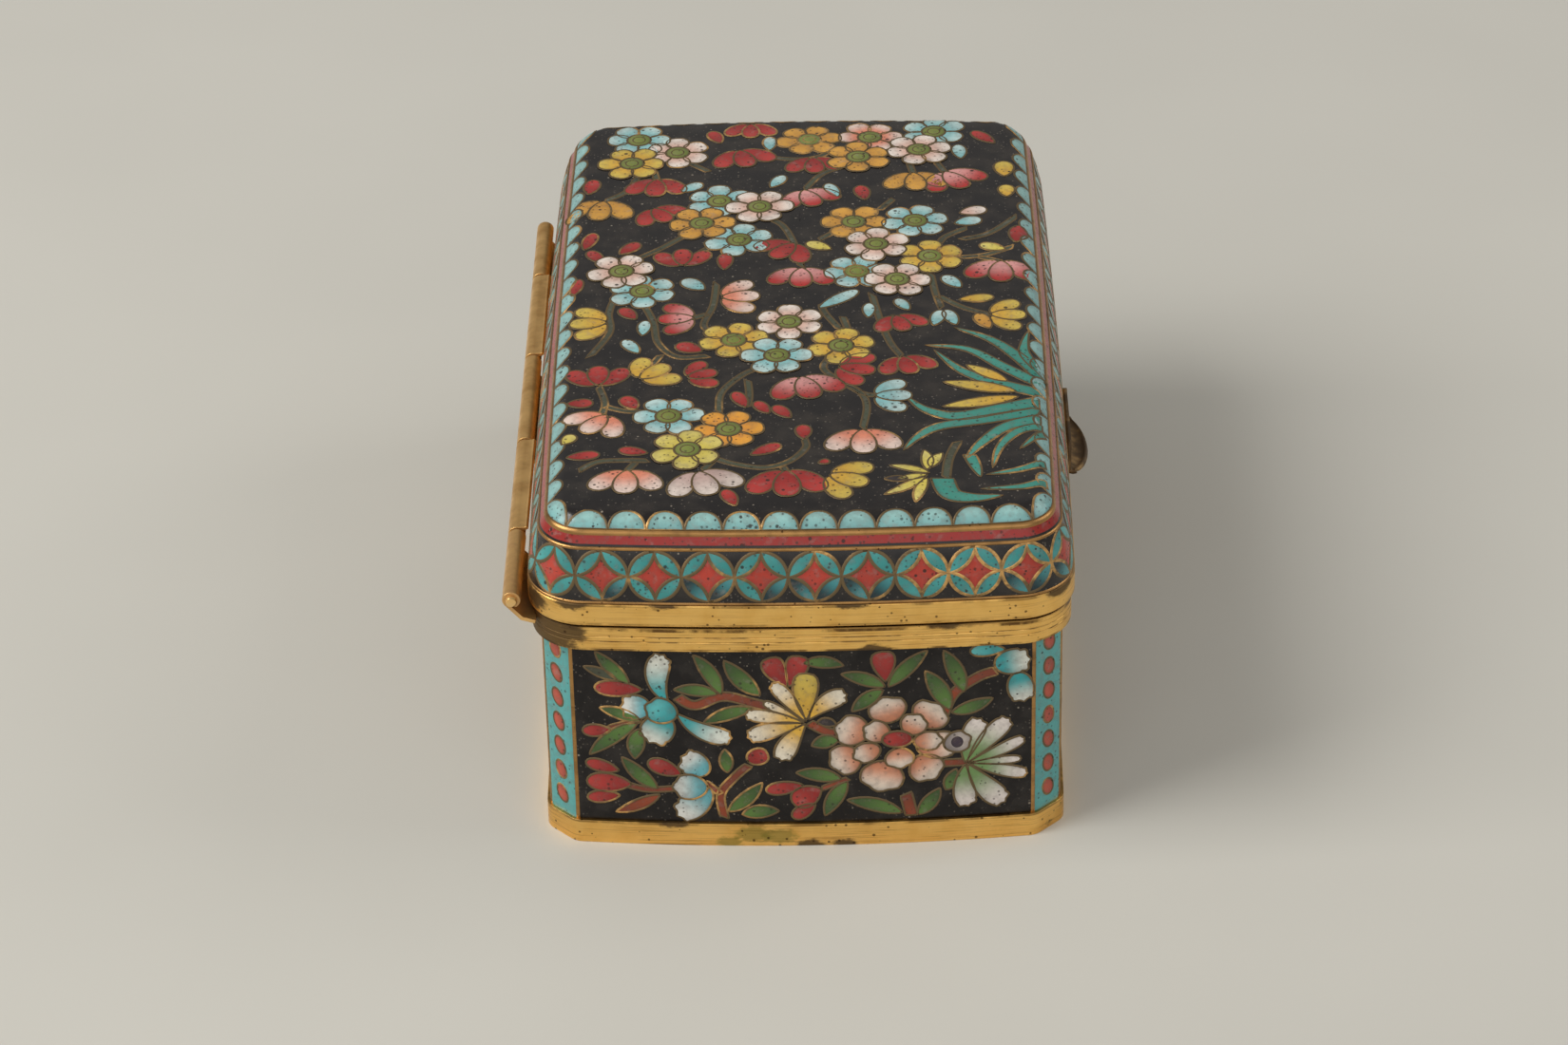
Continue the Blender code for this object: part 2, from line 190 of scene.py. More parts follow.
# Enamel colours from 0 to 255, each at the root of a cell and at its tip
ENAMELS = {
    "light_blue": ((132, 186, 188), (182, 208, 206)),
    "blue_white": ((104, 176, 186), (226, 226, 220)),
    "turquoise": ((62, 158, 162), (96, 186, 188)),
    "turquoise_white": ((58, 160, 164), (222, 224, 214)),
    "teal": ((60, 138, 124), (72, 146, 132)),
    "red": ((146, 42, 40), (174, 58, 54)),
    "pale_red": ((212, 150, 146), (172, 46, 44)),
    "pink": ((218, 132, 104), (224, 202, 190)),
    "peony": ((206, 134, 100), (232, 218, 202)),
    "white_pink": ((216, 178, 162), (232, 220, 210)),
    "mauve": ((186, 158, 150), (214, 200, 190)),
    "yellow": ((206, 162, 62), (206, 180, 84)),
    "yellow_green": ((206, 188, 86), (212, 196, 110)),
    "yellow_white": ((220, 172, 66), (230, 220, 200)),
    "ochre": ((196, 142, 62), (212, 158, 70)),
    "orange": ((222, 150, 58), (226, 160, 62)),
    "leaf": ((88, 120, 58), (60, 86, 46)),
    "green_white": ((112, 146, 88), (226, 216, 210)),
    "core": ((116, 128, 58), (132, 140, 70)),
    "branch": ((142, 66, 40), (122, 60, 42)),
    "stem": ((74, 80, 64), (66, 68, 54)),
    "dark": ((58, 52, 54), (48, 44, 46)),
    "scallop": ((124, 176, 176), (152, 194, 190)),
    "coin_red": ((176, 64, 52), (176, 64, 52)),
    "coin_blue": ((60, 140, 138), (74, 156, 154)),
    "coin_dark": ((30, 52, 58), (72, 146, 150)),
    "line_red": ((148, 42, 38), (148, 42, 38)),
    "grey_petal": ((150, 140, 138), (196, 184, 176)),
    "plum": ((66, 54, 68), (66, 54, 68)),
    "corner_blue": ((88, 160, 158), (96, 168, 166)),
    "corner_red": ((166, 74, 58), (182, 86, 66)),
}
ENAMELS = {name: [linear(*tone) for tone in pair] for name, pair in ENAMELS.items()}


# Outlines and profiles


def softened(start, corner, end, count):
    """A curve that rounds off a corner between two points."""
    share = np.linspace(0, 1, count)[:, None]
    return start * (1 - share) ** 2 + 2 * corner * share * (1 - share) + end * share**2


def canted_corner(corner_x, corner_y, reach):
    """A flat cant with a soft edge on each side."""
    low = np.array((corner_x, corner_y - reach))
    high = np.array((corner_x - reach, corner_y))
    soft = min(CANT_SOFTNESS, CANT_SHARE * reach)
    slope = (high - low) / np.linalg.norm(high - low) * soft
    half = CORNER_STEPS // 2
    first = softened(low - (0, soft), low, low + slope, half)
    last = softened(high - slope, high, high - (soft, 0), CORNER_STEPS + 1 - half)
    return np.vstack((first, last))


def plan_outline(plan, inset):
    """The points of a plan moved inward, with the same count for any inset."""
    corner_x = plan.half_width - plan.side_bow - inset
    corner_y = plan.half_length - plan.end_bow - inset
    share = np.linspace(0, 1, CORNER_STEPS + 1)
    if plan.rounded:
        reach = max(plan.corner - inset, SMALLEST_CORNER)
        angle = share * math.pi / 2
        arc = np.column_stack((1 - np.cos(angle), 1 - np.sin(angle)))
        corner = np.array((corner_x, corner_y)) - reach * arc
    else:
        reach = plan.corner - inset * (2 - math.sqrt(2))
        corner = canted_corner(corner_x, corner_y, reach)
    share = 1 - 2 * np.arange(1, END_STEPS) / END_STEPS
    end_x, end_y = corner[-1]
    end = np.column_stack((end_x * share, end_y + plan.end_bow * (1 - share**2)))
    share = 1 - 2 * np.arange(1, SIDE_STEPS) / SIDE_STEPS
    side_x, side_y = corner[0]
    side = np.column_stack((-side_x - plan.side_bow * (1 - share**2), side_y * share))
    half = np.vstack((corner, end, corner[::-1] * (-1, 1), side))
    return np.vstack((half, -half))


def coin_band_profile(steps=8):
    share = np.linspace(0, 1, steps + 1)
    inset = LID_FOOT_INSET + (COIN_BAND_INSET - LID_FOOT_INSET) * share**LEAN_POWER
    return list(zip(inset, LID_RIM_TOP + COIN_BAND_HEIGHT * share))


def line_band_profile():
    return [(COIN_BAND_INSET, COIN_BAND_TOP), (LINE_BAND_INSET, LINE_BAND_TOP)]


def shoulder_height(inset):
    """Height of the rounded shoulder of the lid at an inset."""
    share = np.clip((inset - LINE_BAND_INSET) / (SHOULDER_INSET - LINE_BAND_INSET), 0, 1)
    return LINE_BAND_TOP + SHOULDER_RISE * (1 - (1 - share) ** SHOULDER_POWER)


def shoulder_profile(steps=9):
    insets = np.linspace(LINE_BAND_INSET, SHOULDER_INSET, steps + 1)
    return list(zip(insets, shoulder_height(insets)))


def crown_height(x, y):
    """Height of the top of the lid, highest along its middle."""
    across = x / (LID_PLAN.half_width - SHOULDER_INSET)
    along = y / (LID_PLAN.half_length - SHOULDER_INSET)
    return CROWN * (1 - np.clip(across**2, 0, 1)) * (1 - np.clip(along**4, 0, 1))


def lid_top_height(x, y):
    """Height of the lid's black field and shoulder at any place seen from above."""
    half_width = LID_PLAN.half_width - SIDE_BOW * (y / LID_PLAN.half_length) ** 2
    half_length = LID_PLAN.half_length - END_BOW * (x / LID_PLAN.half_width) ** 2
    past_x = np.abs(x) - (half_width - LID_CORNER)
    past_y = np.abs(y) - (half_length - LID_CORNER)
    outside = np.hypot(np.maximum(past_x, 0), np.maximum(past_y, 0))
    inside = np.minimum(np.maximum(past_x, past_y), 0)
    inset = LID_CORNER - outside - inside
    return shoulder_height(inset) + crown_height(x, y)


def profile_lengths(points):
    """How far each point is along a row of points."""
    return np.concatenate(([0.0], np.cumsum(np.linalg.norm(np.diff(points, axis=0), axis=1))))


def level_ring(plan, inset, height):
    """The outline of a plan at one inset and height."""
    ring = plan_outline(plan, inset)
    return np.column_stack((ring, np.full(len(ring), height)))


def quads(rows, count, closed=False, looped=False):
    """Corners of the faces between rows of points: two on one row and two on the next.

    Closed joins the ends of each row, and looped joins the last row to the first.
    """
    for row in range(rows if looped else rows - 1):
        low = row * count
        high = (row + 1) % rows * count
        for index in range(count if closed else count - 1):
            beside = (index + 1) % count
            yield low + index, low + beside, high + beside, high + index


class Band:
    """A surface round the box, with places measured along it and up it in millimetres.

    Along starts at the middle of the front end and grows to the right, seen from outside.
    """

    def __init__(self, plan, profile):
        rings = np.array([level_ring(plan, inset, height) for inset, height in profile])
        middle = rings[len(rings) // 2]
        start = np.argmin(np.abs(middle[:, 0]) + (middle[:, 1] > 0))
        rings = np.roll(rings, -start, axis=1)
        self.points = np.concatenate((rings, rings[:, :1]), axis=1)
        self.along = profile_lengths(self.points[len(rings) // 2]) / MM
        self.up = profile_lengths(self.points[:, 0]) / MM
        self.length = self.along[-1]
        self.height = self.up[-1]
        across = np.roll(rings, -1, axis=1) - np.roll(rings, 1, axis=1)
        upward = np.gradient(rings, axis=0)
        normals = np.cross(across, upward)
        normals /= np.linalg.norm(normals, axis=2, keepdims=True)
        self.normals = np.concatenate((normals, normals[:, :1]), axis=1)

    def at(self, places, lift):
        """Points over the places of this surface, lifted off it."""
        along = np.mod(places[:, 0], self.length)
        column = np.interp(along, self.along, np.arange(len(self.along)))
        row = np.interp(places[:, 1], self.up, np.arange(len(self.up)))
        left = np.minimum(column.astype(int), len(self.along) - 2)
        low = np.minimum(row.astype(int), len(self.up) - 2)
        across = (column - left)[:, None]
        upward = (row - low)[:, None]

        def blended(grid):
            lower = grid[low, left] * (1 - across) + grid[low, left + 1] * across
            upper = grid[low + 1, left] * (1 - across) + grid[low + 1, left + 1] * across
            return lower * (1 - upward) + upper * upward

        return blended(self.points) + blended(self.normals) * np.asarray(lift)[:, None] * MM


def on_lid_top(places, lift):
    """Points over places of the lid's top, given as X and Y in millimetres."""
    x, y = places.T * MM
    return np.column_stack((x, y, lid_top_height(x, y) + np.asarray(lift) * MM))


# Shapes of cells, in millimetres. Each is an edge, and the point of its middle line that
# every edge point belongs to


def turned(points, angle, x=0.0, y=0.0):
    """Points turned about the origin by an angle in degrees, then moved."""
    cosine = math.cos(math.radians(angle))
    sine = math.sin(math.radians(angle))
    return points @ np.array(((cosine, sine), (-sine, cosine))) + (x, y)


def smooth_path(points, steps=6):
    """A smooth line through a few points."""
    points = np.array(points, dtype=float)
    if len(points) == 2:
        return points[0] + np.linspace(0, 1, 2 * steps)[:, None] * (points[1] - points[0])
    ends = np.vstack((2 * points[0] - points[1], points, 2 * points[-1] - points[-2]))
    share = np.linspace(0, 1, steps, endpoint=False)[:, None]
    path = []
    for before, start, end, after in zip(ends, ends[1:], ends[2:], ends[3:]):
        line = 2 * start + (end - before) * share
        line += (2 * before - 5 * start + 4 * end - after) * share**2
        line += (3 * start - before - 3 * end + after) * share**3
        path.append(line / 2)
    return np.vstack((*path, points[-1]))


def path_normals(path):
    """Directions square to a path, on its left."""
    ahead = np.gradient(path, axis=0)
    ahead /= np.maximum(np.linalg.norm(ahead, axis=1, keepdims=True), 1e-9)
    return np.column_stack((-ahead[:, 1], ahead[:, 0]))


def widened(path, half):
    """Edge and middle line of a shape that follows a path with a half width at each point."""
    normals = path_normals(path)
    left = path + normals * half[:, None]
    right = path - normals * half[:, None]
    last = len(path) - 1
    middle = path[np.clip(np.arange(last + 1), 1, last - 1)]
    return np.vstack((right, left[-2:0:-1])), np.vstack((middle, middle[-2:0:-1]))

# How slim the root and the tip of each kind of cell are
ENDS = {
    "leaf": (0.8, 0.9),
    "petal": (0.9, 0.34),
    "bud": (0.75, 0.5),
    "round": (0.45, 0.36),
    "egg": (0.66, 0.42),
}


def blade(root, tip, width, bend=0.0, kind="leaf", steps=11):
    """A leaf or petal from its root to its tip, bent to the left by an angle in degrees."""
    root = np.array(root, dtype=float)
    tip = np.array(tip, dtype=float)
    chord = tip - root
    share = (1 - np.cos(np.linspace(0, math.pi, steps))) / 2
    turn = math.radians(bend)
    heading = math.atan2(chord[1], chord[0]) - turn / 2 + turn * (share[1:] + share[:-1]) / 2
    steps_along = np.diff(share)[:, None] * np.column_stack((np.cos(heading), np.sin(heading)))
    path = np.vstack(((0.0, 0.0), np.cumsum(steps_along, axis=0)))
    path = root + path * np.linalg.norm(chord) / np.linalg.norm(path[-1])
    slim_root, slim_tip = ENDS[kind]
    half = share**slim_root * (1 - share) ** slim_tip
    return widened(path, half * width / 2 / half.max())


def point_at(angle, distance, x=0.0, y=0.0):
    """The point at a distance from a place, in a direction given in degrees."""
    return turned(np.array(((distance, 0.0),)), angle, x, y)[0]


def about(edge, x, y):
    """A shape with an edge round one middle point."""
    return edge, np.tile((x, y), (len(edge), 1))


def round_shape(x, y, half_x, half_y, angle=0.0):
    """A disc or an oval."""
    around = np.linspace(0, 2 * math.pi, 20, endpoint=False)
    edge = np.column_stack((half_x * np.cos(around), half_y * np.sin(around)))
    return about(turned(edge, angle, x, y), x, y)


# Broad petals: how sharply the lobes start, how deep they are, and how slim the root is
LOBE_START = 1.4
LOBE_DEPTH = 0.075
ROOT_TAPER = 0.16
LOBES = 3


def lobed_petal(x, y, length, width, angle):
    """A broad petal with a lobed outer edge, its middle at the given place."""
    around = np.linspace(-math.pi, math.pi, 26, endpoint=False)
    outer = np.clip(np.cos(around) * LOBE_START, 0, 1)
    wave = 1 + LOBE_DEPTH * outer * np.cos(around * 2 * LOBES)
    taper = 1 - ROOT_TAPER * np.clip(-np.cos(around), 0, 1)
    edge = np.column_stack((np.cos(around) * length / 2, np.sin(around) * taper * width / 2))
    return about(turned(edge * wave[:, None], angle, x, y), x, y)


# Frilled tips: their hub and depth as shares of the width, their reach in degrees to each
# side, and how much faster than the angle they wave
FRILL_HUB = 0.42
FRILL_DEPTH = 0.05
FRILL_REACH = 75
FRILL_PACE = 7.2


def frilled_blade(root, tip, width, bend, kind):
    """A petal with three small lobes round its tip."""
    edge, middle = blade(root, tip, width, bend, kind, steps=23)
    chord = np.subtract(tip, root)
    heading = math.degrees(math.atan2(chord[1], chord[0])) + bend / 2
    out = edge - (np.array(tip) - point_at(heading, width * FRILL_HUB))
    angle = (np.degrees(np.arctan2(out[:, 1], out[:, 0])) - heading + 180) % 360 - 180
    wave = np.where(np.abs(angle) < FRILL_REACH, np.cos(np.radians(angle * FRILL_PACE)), 0)
    wave = wave * (width * FRILL_DEPTH)
    return edge + out / np.linalg.norm(out, axis=1, keepdims=True) * wave[:, None], middle


class Parts:
    """Points, faces, colours and map places collected for one piece."""

    def __init__(self):
        self.points = []
        self.colours = []
        self.chart = []
        self.faces = []
        self.count = 0

    def add(self, points, faces, colours, chart):
        self.points.append(points)
        self.colours.append(colours)
        self.chart.append(chart)
        self.faces += [tuple(index + self.count for index in face) for face in faces]
        self.count += len(points)


class Cloisons:
    """The enamel cells of one area and the wires between them."""

    def __init__(self, place, cells, wires, mirror=1, scale=1.0, shift=0.0):
        self.place = place
        self.cells = cells
        self.wires = wires
        self.mirror = mirror
        self.scale = scale
        self.shift = shift

    def lay(self, parts, rows, lifts, colours, faces):
        """Add rows of layout points to a piece, each row lifted off the surface."""
        places = np.vstack(rows)
        places[:, 0] = places[:, 0] * self.scale * self.mirror + self.shift
        points = self.place(places, np.repeat(lifts, len(rows[0])))
        parts.add(points, [face[:: self.mirror] for face in faces], colours, places * MM)

    def cell(self, shape, colour, layer=0, wire=WIRE_WIDTH, toward=None):
        """A cell of enamel with a wire round it.

        Its colour changes from the root of the shape to its tip, or toward a given point. Its edge
        is darker: painted shade beside the wire, partly dirt.
        """
        edge, middle = shape
        root, tip = ENAMELS[colour]
        light = 1 + chance.uniform(*CELL_LIGHTS)
        start, end = edge[0], edge[len(edge) // 2]
        if toward is not None:
            end = np.array(toward, dtype=float)
            start = 2 * middle.mean(axis=0) - end
        way = end - start
        rings, lifts, colours = [], [], []
        # the edge shade of the outer rings is painted shade beside the wire, partly dirt at the
        # cell's edge
        for share, lift, edge_shade_and_dirt in CELL_RINGS:
            ring = middle + (edge - middle) * share
            rings.append(ring)
            lifts.append(lift * CELL_HEIGHT + layer * LAYER_STEP)
            along = np.clip(((ring - start) @ way / (way @ way))[:, None], 0, 1)
            gradient = np.clip((along - BLEND_START) / BLEND_SPAN, 0, 1)
            gradient = gradient**2 * (3 - 2 * gradient)
            colours.append((root + (tip - root) * gradient) * edge_shade_and_dirt * light)
        faces = [(a, d, c, b) for a, b, c, d in quads(len(rings), len(edge), closed=True)]
        self.lay(self.cells, rings, lifts, np.vstack(colours), faces)
        if wire:
            self.wire(np.vstack((edge, edge[:2])), wire, layer)

    def wire(self, path, width=WIRE_WIDTH, layer=0, height=WIRE_HEIGHT):
        """A wire along a path, slightly raised with sloping sides."""
        normals = path_normals(path)
        rows = [path + normals * across * width for across, _ in WIRE_PROFILE]
        lifts = [lift * height + layer * LAYER_STEP for _, lift in WIRE_PROFILE]
        colours = np.ones((len(rows) * len(path), 3))
        self.lay(self.wires, rows, lifts, colours, quads(len(rows), len(path)))

    def stem(self, points, width, colour="stem"):
        """A band of enamel between two wires that follows a smooth line."""
        path = smooth_path(points)
        self.cell(widened(path, np.full(len(path), width / 2)), colour)


def new_object(name, mesh, material):
    item = bpy.data.objects.new(name, mesh)
    bpy.context.scene.collection.objects.link(item)
    mesh.materials.append(material)
    return item


def make_piece(name, parts, material, body):
    """An object from collected parts, with its colours and its map for baking."""
    mesh = bpy.data.meshes.new(name)
    mesh.from_pydata(np.vstack(parts.points), [], parts.faces)
    colours = np.vstack(parts.colours)
    colours = np.column_stack((colours, np.ones(len(colours))))
    layer = mesh.color_attributes.new("enamel_colour", "FLOAT_COLOR", "POINT")
    layer.data.foreach_set("color", colours.ravel())
    chart = np.vstack(parts.chart)
    chart -= chart.min(axis=0)
    chart /= chart.max() * 1.002
    corners = np.empty(len(mesh.loops), dtype=np.int32)
    mesh.loops.foreach_get("vertex_index", corners)
    mesh.uv_layers.new(name="OFBake").data.foreach_set("uv", chart[corners].ravel())
    mesh.shade_smooth()
    mesh.update()
    item = new_object(name, mesh, material)
    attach(item, body)
    return item


def joined(
    name, rows, material, body, filled=(0, -1), closed=True, looped=False, bevel=0.0
):
    """A piece with faces between rows of points, its sharp edges slightly rounded.

    Filled names the rows that get a face of their own.
    """
    shape = bmesh.new()
    verts = [[shape.verts.new(tuple(point)) for point in row] for row in rows]
    every = [vert for row in verts for vert in row]
    for face in quads(len(rows), len(rows[0]), closed, looped):
        shape.faces.new([every[index] for index in face])
    for row in filled:
        shape.faces.new(verts[row])
    bmesh.ops.recalc_face_normals(shape, faces=shape.faces)
    mesh = bpy.data.meshes.new(name)
    shape.to_mesh(mesh)
    shape.free()
    item = new_object(name, mesh, material)
    mesh.shade_smooth()
    if bevel:
        rounding = item.modifiers.new("rounded_edges", "BEVEL")
        rounding.width = bevel
        rounding.segments = 2
        rounding.limit_method = "ANGLE"
        rounding.angle_limit = SHARP_ANGLE
        rounding.harden_normals = True
    else:
        mesh.set_sharp_from_angle(angle=SHARP_ANGLE)
    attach(item, body)
    return item


def skinned(name, sections, material, body, looped=False, bevel=0.0):
    """A body over a row of sections, each a plan, an inset and a height."""
    rings = [level_ring(*section) for section in sections]
    filled = () if looped else (0, -1)
    return joined(name, rings, material, body, filled, looped=looped, bevel=bevel)


def on_plan(plan, points):
    return [(plan, inset, height) for inset, height in points]


# Materials

# Colours of dust, dirt and wear, from 0 to 255
PALE_DUST = (150, 140, 126)
FINE_DUST = (132, 122, 110)
MURK = (98, 84, 78)
CHALK = (214, 206, 196)
ENAMEL_PIT = (44, 34, 30)
LINING_PIT = (40, 52, 50)
SCRATCH_BROWN = (150, 102, 54)
STREAK_BROWN = (112, 76, 46)
LINE_BROWN = (84, 58, 38)
CORROSION_GREEN = (126, 122, 56)
STAIN_BROWN = (92, 74, 54)
GILT_PIT = (72, 50, 34)
BRASS_SPECK = (150, 140, 112)


def new_group(name, inputs, output):
    """An empty node group with named inputs and one output, all of them numbers."""
    group = bpy.data.node_groups.new(name, "ShaderNodeTree")
    for label, value in inputs.items():
        group.interface.new_socket(label, in_out="INPUT", socket_type="NodeSocketFloat")
        group.interface.items_tree[label].default_value = value
    group.interface.new_socket(output, in_out="OUTPUT", socket_type="NodeSocketFloat")
    given = group.nodes.new("NodeGroupInput").outputs
    return group, given, group.nodes.new("NodeGroupOutput").inputs[output]


def connect(tree, value, socket):
    """Feed a socket from another one, or give it a number or a colour."""
    if isinstance(value, bpy.types.NodeSocket):
        tree.links.new(value, socket)
    else:
        socket.default_value = (*value, 1.0) if socket.type == "RGBA" else value


def math_node(tree, operation, first, second=0.0, clamp=False):
    node = tree.nodes.new("ShaderNodeMath")
    node.operation = operation
    node.use_clamp = clamp
    connect(tree, first, node.inputs[0])
    connect(tree, second, node.inputs[1])
    return node.outputs[0]


def times(tree, first, second):
    return math_node(tree, "MULTIPLY", first, second)


def ranged(tree, value, low, high, to_low=0.0, to_high=1.0):
    """A value moved smoothly from one range into another."""
    node = tree.nodes.new("ShaderNodeMapRange")
    node.interpolation_type = "SMOOTHSTEP"
    labels = ("Value", "From Min", "From Max", "To Min", "To Max")
    for label, given in zip(labels, (value, low, high, to_low, to_high)):
        connect(tree, given, node.inputs[label])
    return node.outputs["Result"]


def millimetres(tree, stretch=(1.0, 1.0, 1.0)):
    """Places on the object in millimetres, stretched along each axis."""
    place = tree.nodes.new("ShaderNodeTexCoord")
    mapping = tree.nodes.new("ShaderNodeMapping")
    mapping.inputs["Scale"].default_value = [share / MM for share in stretch]
    tree.links.new(place.outputs["Object"], mapping.inputs["Vector"])
    return mapping.outputs["Vector"]


def noise(tree, vector, scale, detail=3.0, roughness=0.55):
    node = tree.nodes.new("ShaderNodeTexNoise")
    values = {"Vector": vector, "Scale": scale, "Detail": detail, "Roughness": roughness}
    for label, value in values.items():
        connect(tree, value, node.inputs[label])
    return node.outputs["Fac"]


def make_pinholes():
    """Round pits at random places. Spacing is per millimetre, Share is how many cells hold one."""
    group, given, out = new_group(
        "enamel_pinholes", {"Spacing": 1.0, "Radius": 0.1, "Share": 0.3}, "Pit"
    )
    cells = group.nodes.new("ShaderNodeTexVoronoi")
    connect(group, millimetres(group), cells.inputs["Vector"])
    connect(group, given["Spacing"], cells.inputs["Scale"])
    split = group.nodes.new("ShaderNodeSeparateColor")
    connect(group, cells.outputs["Color"], split.inputs["Color"])
    radius = times(group, given["Radius"], split.outputs["Green"])
    round_pit = ranged(group, cells.outputs["Distance"], radius, times(group, radius, 0.55))
    chosen = math_node(group, "LESS_THAN", split.outputs["Red"], given["Share"])
    connect(group, times(group, round_pit, chosen), out)
    return group


def make_clouding():
    """Soft light and dark places in the enamel or the gilding."""
    group, given, out = new_group(
        "soft_clouding", {"Scale": 1.0, "Low": 0.35, "High": 0.65}, "Cloud"
    )
    spots = noise(group, millimetres(group), given["Scale"], 4.0)
    connect(group, ranged(group, spots, given["Low"], given["High"]), out)
    return group


def make_scoring():
    """Fine level scratches left by polishing."""
    group, given, out = new_group("level_scratches", {"Fineness": 6.0, "Length": 0.15}, "Scratch")
    lines = noise(group, millimetres(group, (0.05, 0.05, 5.0)), given["Fineness"], 5.0, 0.7)
    patches = noise(group, millimetres(group), given["Length"], 2.0)
    connect(group, times(group, lines, ranged(group, patches, 0.3, 0.7, 0.85, 1.0)), out)
    return group


# How much flatter a smear on the gilding is than it is long
SMEAR_FLATNESS = 2.0


def make_local_stain():
    """A level smear with a ragged edge round one place, given in millimetres."""
    group, given, out = new_group(
        "local_stain", {"X": 0.0, "Y": 0.0, "Z": 0.0, "Radius": 3.0}, "Stain"
    )
    place = millimetres(group, (1.0, 1.0, SMEAR_FLATNESS))
    centre = group.nodes.new("ShaderNodeCombineXYZ")
    flattened = times(group, given["Z"], SMEAR_FLATNESS)
    for axis, value in zip("XYZ", (given["X"], given["Y"], flattened)):
        connect(group, value, centre.inputs[axis])
    distance = group.nodes.new("ShaderNodeVectorMath")
    distance.operation = "DISTANCE"
    connect(group, place, distance.inputs[0])
    connect(group, centre.outputs["Vector"], distance.inputs[1])
    reach = math_node(group, "DIVIDE", distance.outputs["Value"], given["Radius"])
    uneven = math_node(group, "ADD", reach, noise(group, place, 0.9, 5.0, 0.65))
    connect(group, ranged(group, uneven, 1.5, 1.15), out)
    return group


def make_level_line():
    """A level line at one height in millimetres, broken up unless Whole is 1."""
    group, given, out = new_group("level_line", {"Height": 0.0, "Half": 0.1, "Whole": 0.0}, "Line")
    place = millimetres(group)
    split = group.nodes.new("ShaderNodeSeparateXYZ")
    connect(group, place, split.inputs["Vector"])
    off = math_node(group, "SUBTRACT", split.outputs["Z"], given["Height"])
    inner = times(group, given["Half"], 0.4)
    line = ranged(group, math_node(group, "ABSOLUTE", off), given["Half"], inner)
    patches = ranged(group, noise(group, place, 0.3, 4.0, 0.6), 0.4, 0.6)
    patches = math_node(group, "MAXIMUM", patches, given["Whole"])
    connect(group, times(group, line, patches), out)
    return group


def place_group(tree, group, **values):
    node = tree.nodes.new("ShaderNodeGroup")
    node.node_tree = group
    for label, value in values.items():
        node.inputs[label].default_value = value
    return node.outputs[0]


def stained(tree, groups, place):
    """The mask of a stain, from its X, Y, Z and radius in millimetres."""
    return place_group(tree, groups.local_stain, **dict(zip(("X", "Y", "Z", "Radius"), place)))


def mixed(tree, share, first, second):
    """One colour over another by a share."""
    node = tree.nodes.new("ShaderNodeMix")
    node.data_type = "RGBA"
    for value, socket in ((share, 0), (first, 6), (second, 7)):
        connect(tree, value, node.inputs[socket])
    return node.outputs[2]


def tinted(tree, colour, mask, share, tone):
    """A colour with a share of a tone over it where a mask says so."""
    return mixed(tree, times(tree, mask, share), colour, linear(*tone))


def new_material(name, metallic=0.0):
    material = bpy.data.materials.new(name)
    material.use_nodes = True
    shader = material.node_tree.nodes["Principled BSDF"]
    shader.inputs["Metallic"].default_value = metallic
    return material, material.node_tree, shader


def surfaced(tree, shader, colour, mask, roughness):
    """The colour of a material, and its roughness where a mask is 0 and where it is 1."""
    connect(tree, colour, shader.inputs["Base Color"])
    connect(tree, ranged(tree, mask, 0.0, 1.0, *roughness), shader.inputs["Roughness"])


def roughen(tree, shader, height, strength, distance):
    """A bump from a height, in millimetres."""
    bump = tree.nodes.new("ShaderNodeBump")
    bump.inputs["Strength"].default_value = strength
    bump.inputs["Distance"].default_value = distance * MM
    tree.links.new(height, bump.inputs["Height"])
    tree.links.new(bump.outputs["Normal"], shader.inputs["Normal"])


def make_ground_enamel(name, groups, black, haze_colour, gloss):
    """The black enamel between the cells, with pale pinholes and a brown haze."""
    material, tree, shader = new_material(name)
    haze = place_group(tree, groups.clouding, Scale=0.35, Low=0.4, High=0.75)
    colour = mixed(tree, haze, linear(*black), linear(*haze_colour))
    dust = place_group(tree, groups.pinholes, Spacing=1.1, Radius=0.17, Share=0.5)
    fine_dust = place_group(tree, groups.pinholes, Spacing=2.8, Radius=0.38, Share=0.5)
    colour = tinted(tree, colour, dust, 0.8, PALE_DUST)
    colour = tinted(tree, colour, fine_dust, 0.4, FINE_DUST)
    surfaced(tree, shader, colour, haze, (0.2, 0.34))
    shader.inputs["Specular IOR Level"].default_value = gloss
    roughen(tree, shader, math_node(tree, "SUBTRACT", 1.0, dust), 0.5, 0.04)
    return material


def make_cell_enamel(name, groups, pitted, specked):
    """The coloured enamel of the cells, mottled and with dark pinholes."""
    material, tree, shader = new_material(name)
    tint = tree.nodes.new("ShaderNodeVertexColor")
    tint.layer_name = "enamel_colour"
    cloud = place_group(tree, groups.clouding, Scale=1.6, Low=0.4, High=0.75)
    pale = place_group(tree, groups.clouding, Scale=0.8, Low=0.55, High=0.8)
    colour = tinted(tree, tint.outputs["Color"], cloud, 0.36, MURK)
    colour = tinted(tree, colour, pale, 0.12, CHALK)
    pit = place_group(tree, groups.pinholes, Spacing=1.2, Radius=0.34, Share=pitted)
    speck = place_group(tree, groups.pinholes, Spacing=2.3, Radius=0.46, Share=specked)
    dark = math_node(tree, "MAXIMUM", pit, times(tree, speck, 0.75))
    colour = tinted(tree, colour, dark, 0.88, ENAMEL_PIT)
    surfaced(tree, shader, colour, cloud, (0.2, 0.32))
    shader.inputs["Specular IOR Level"].default_value = 0.35
    roughen(tree, shader, math_node(tree, "SUBTRACT", 1.0, pit), 0.6, 0.05)
    return material


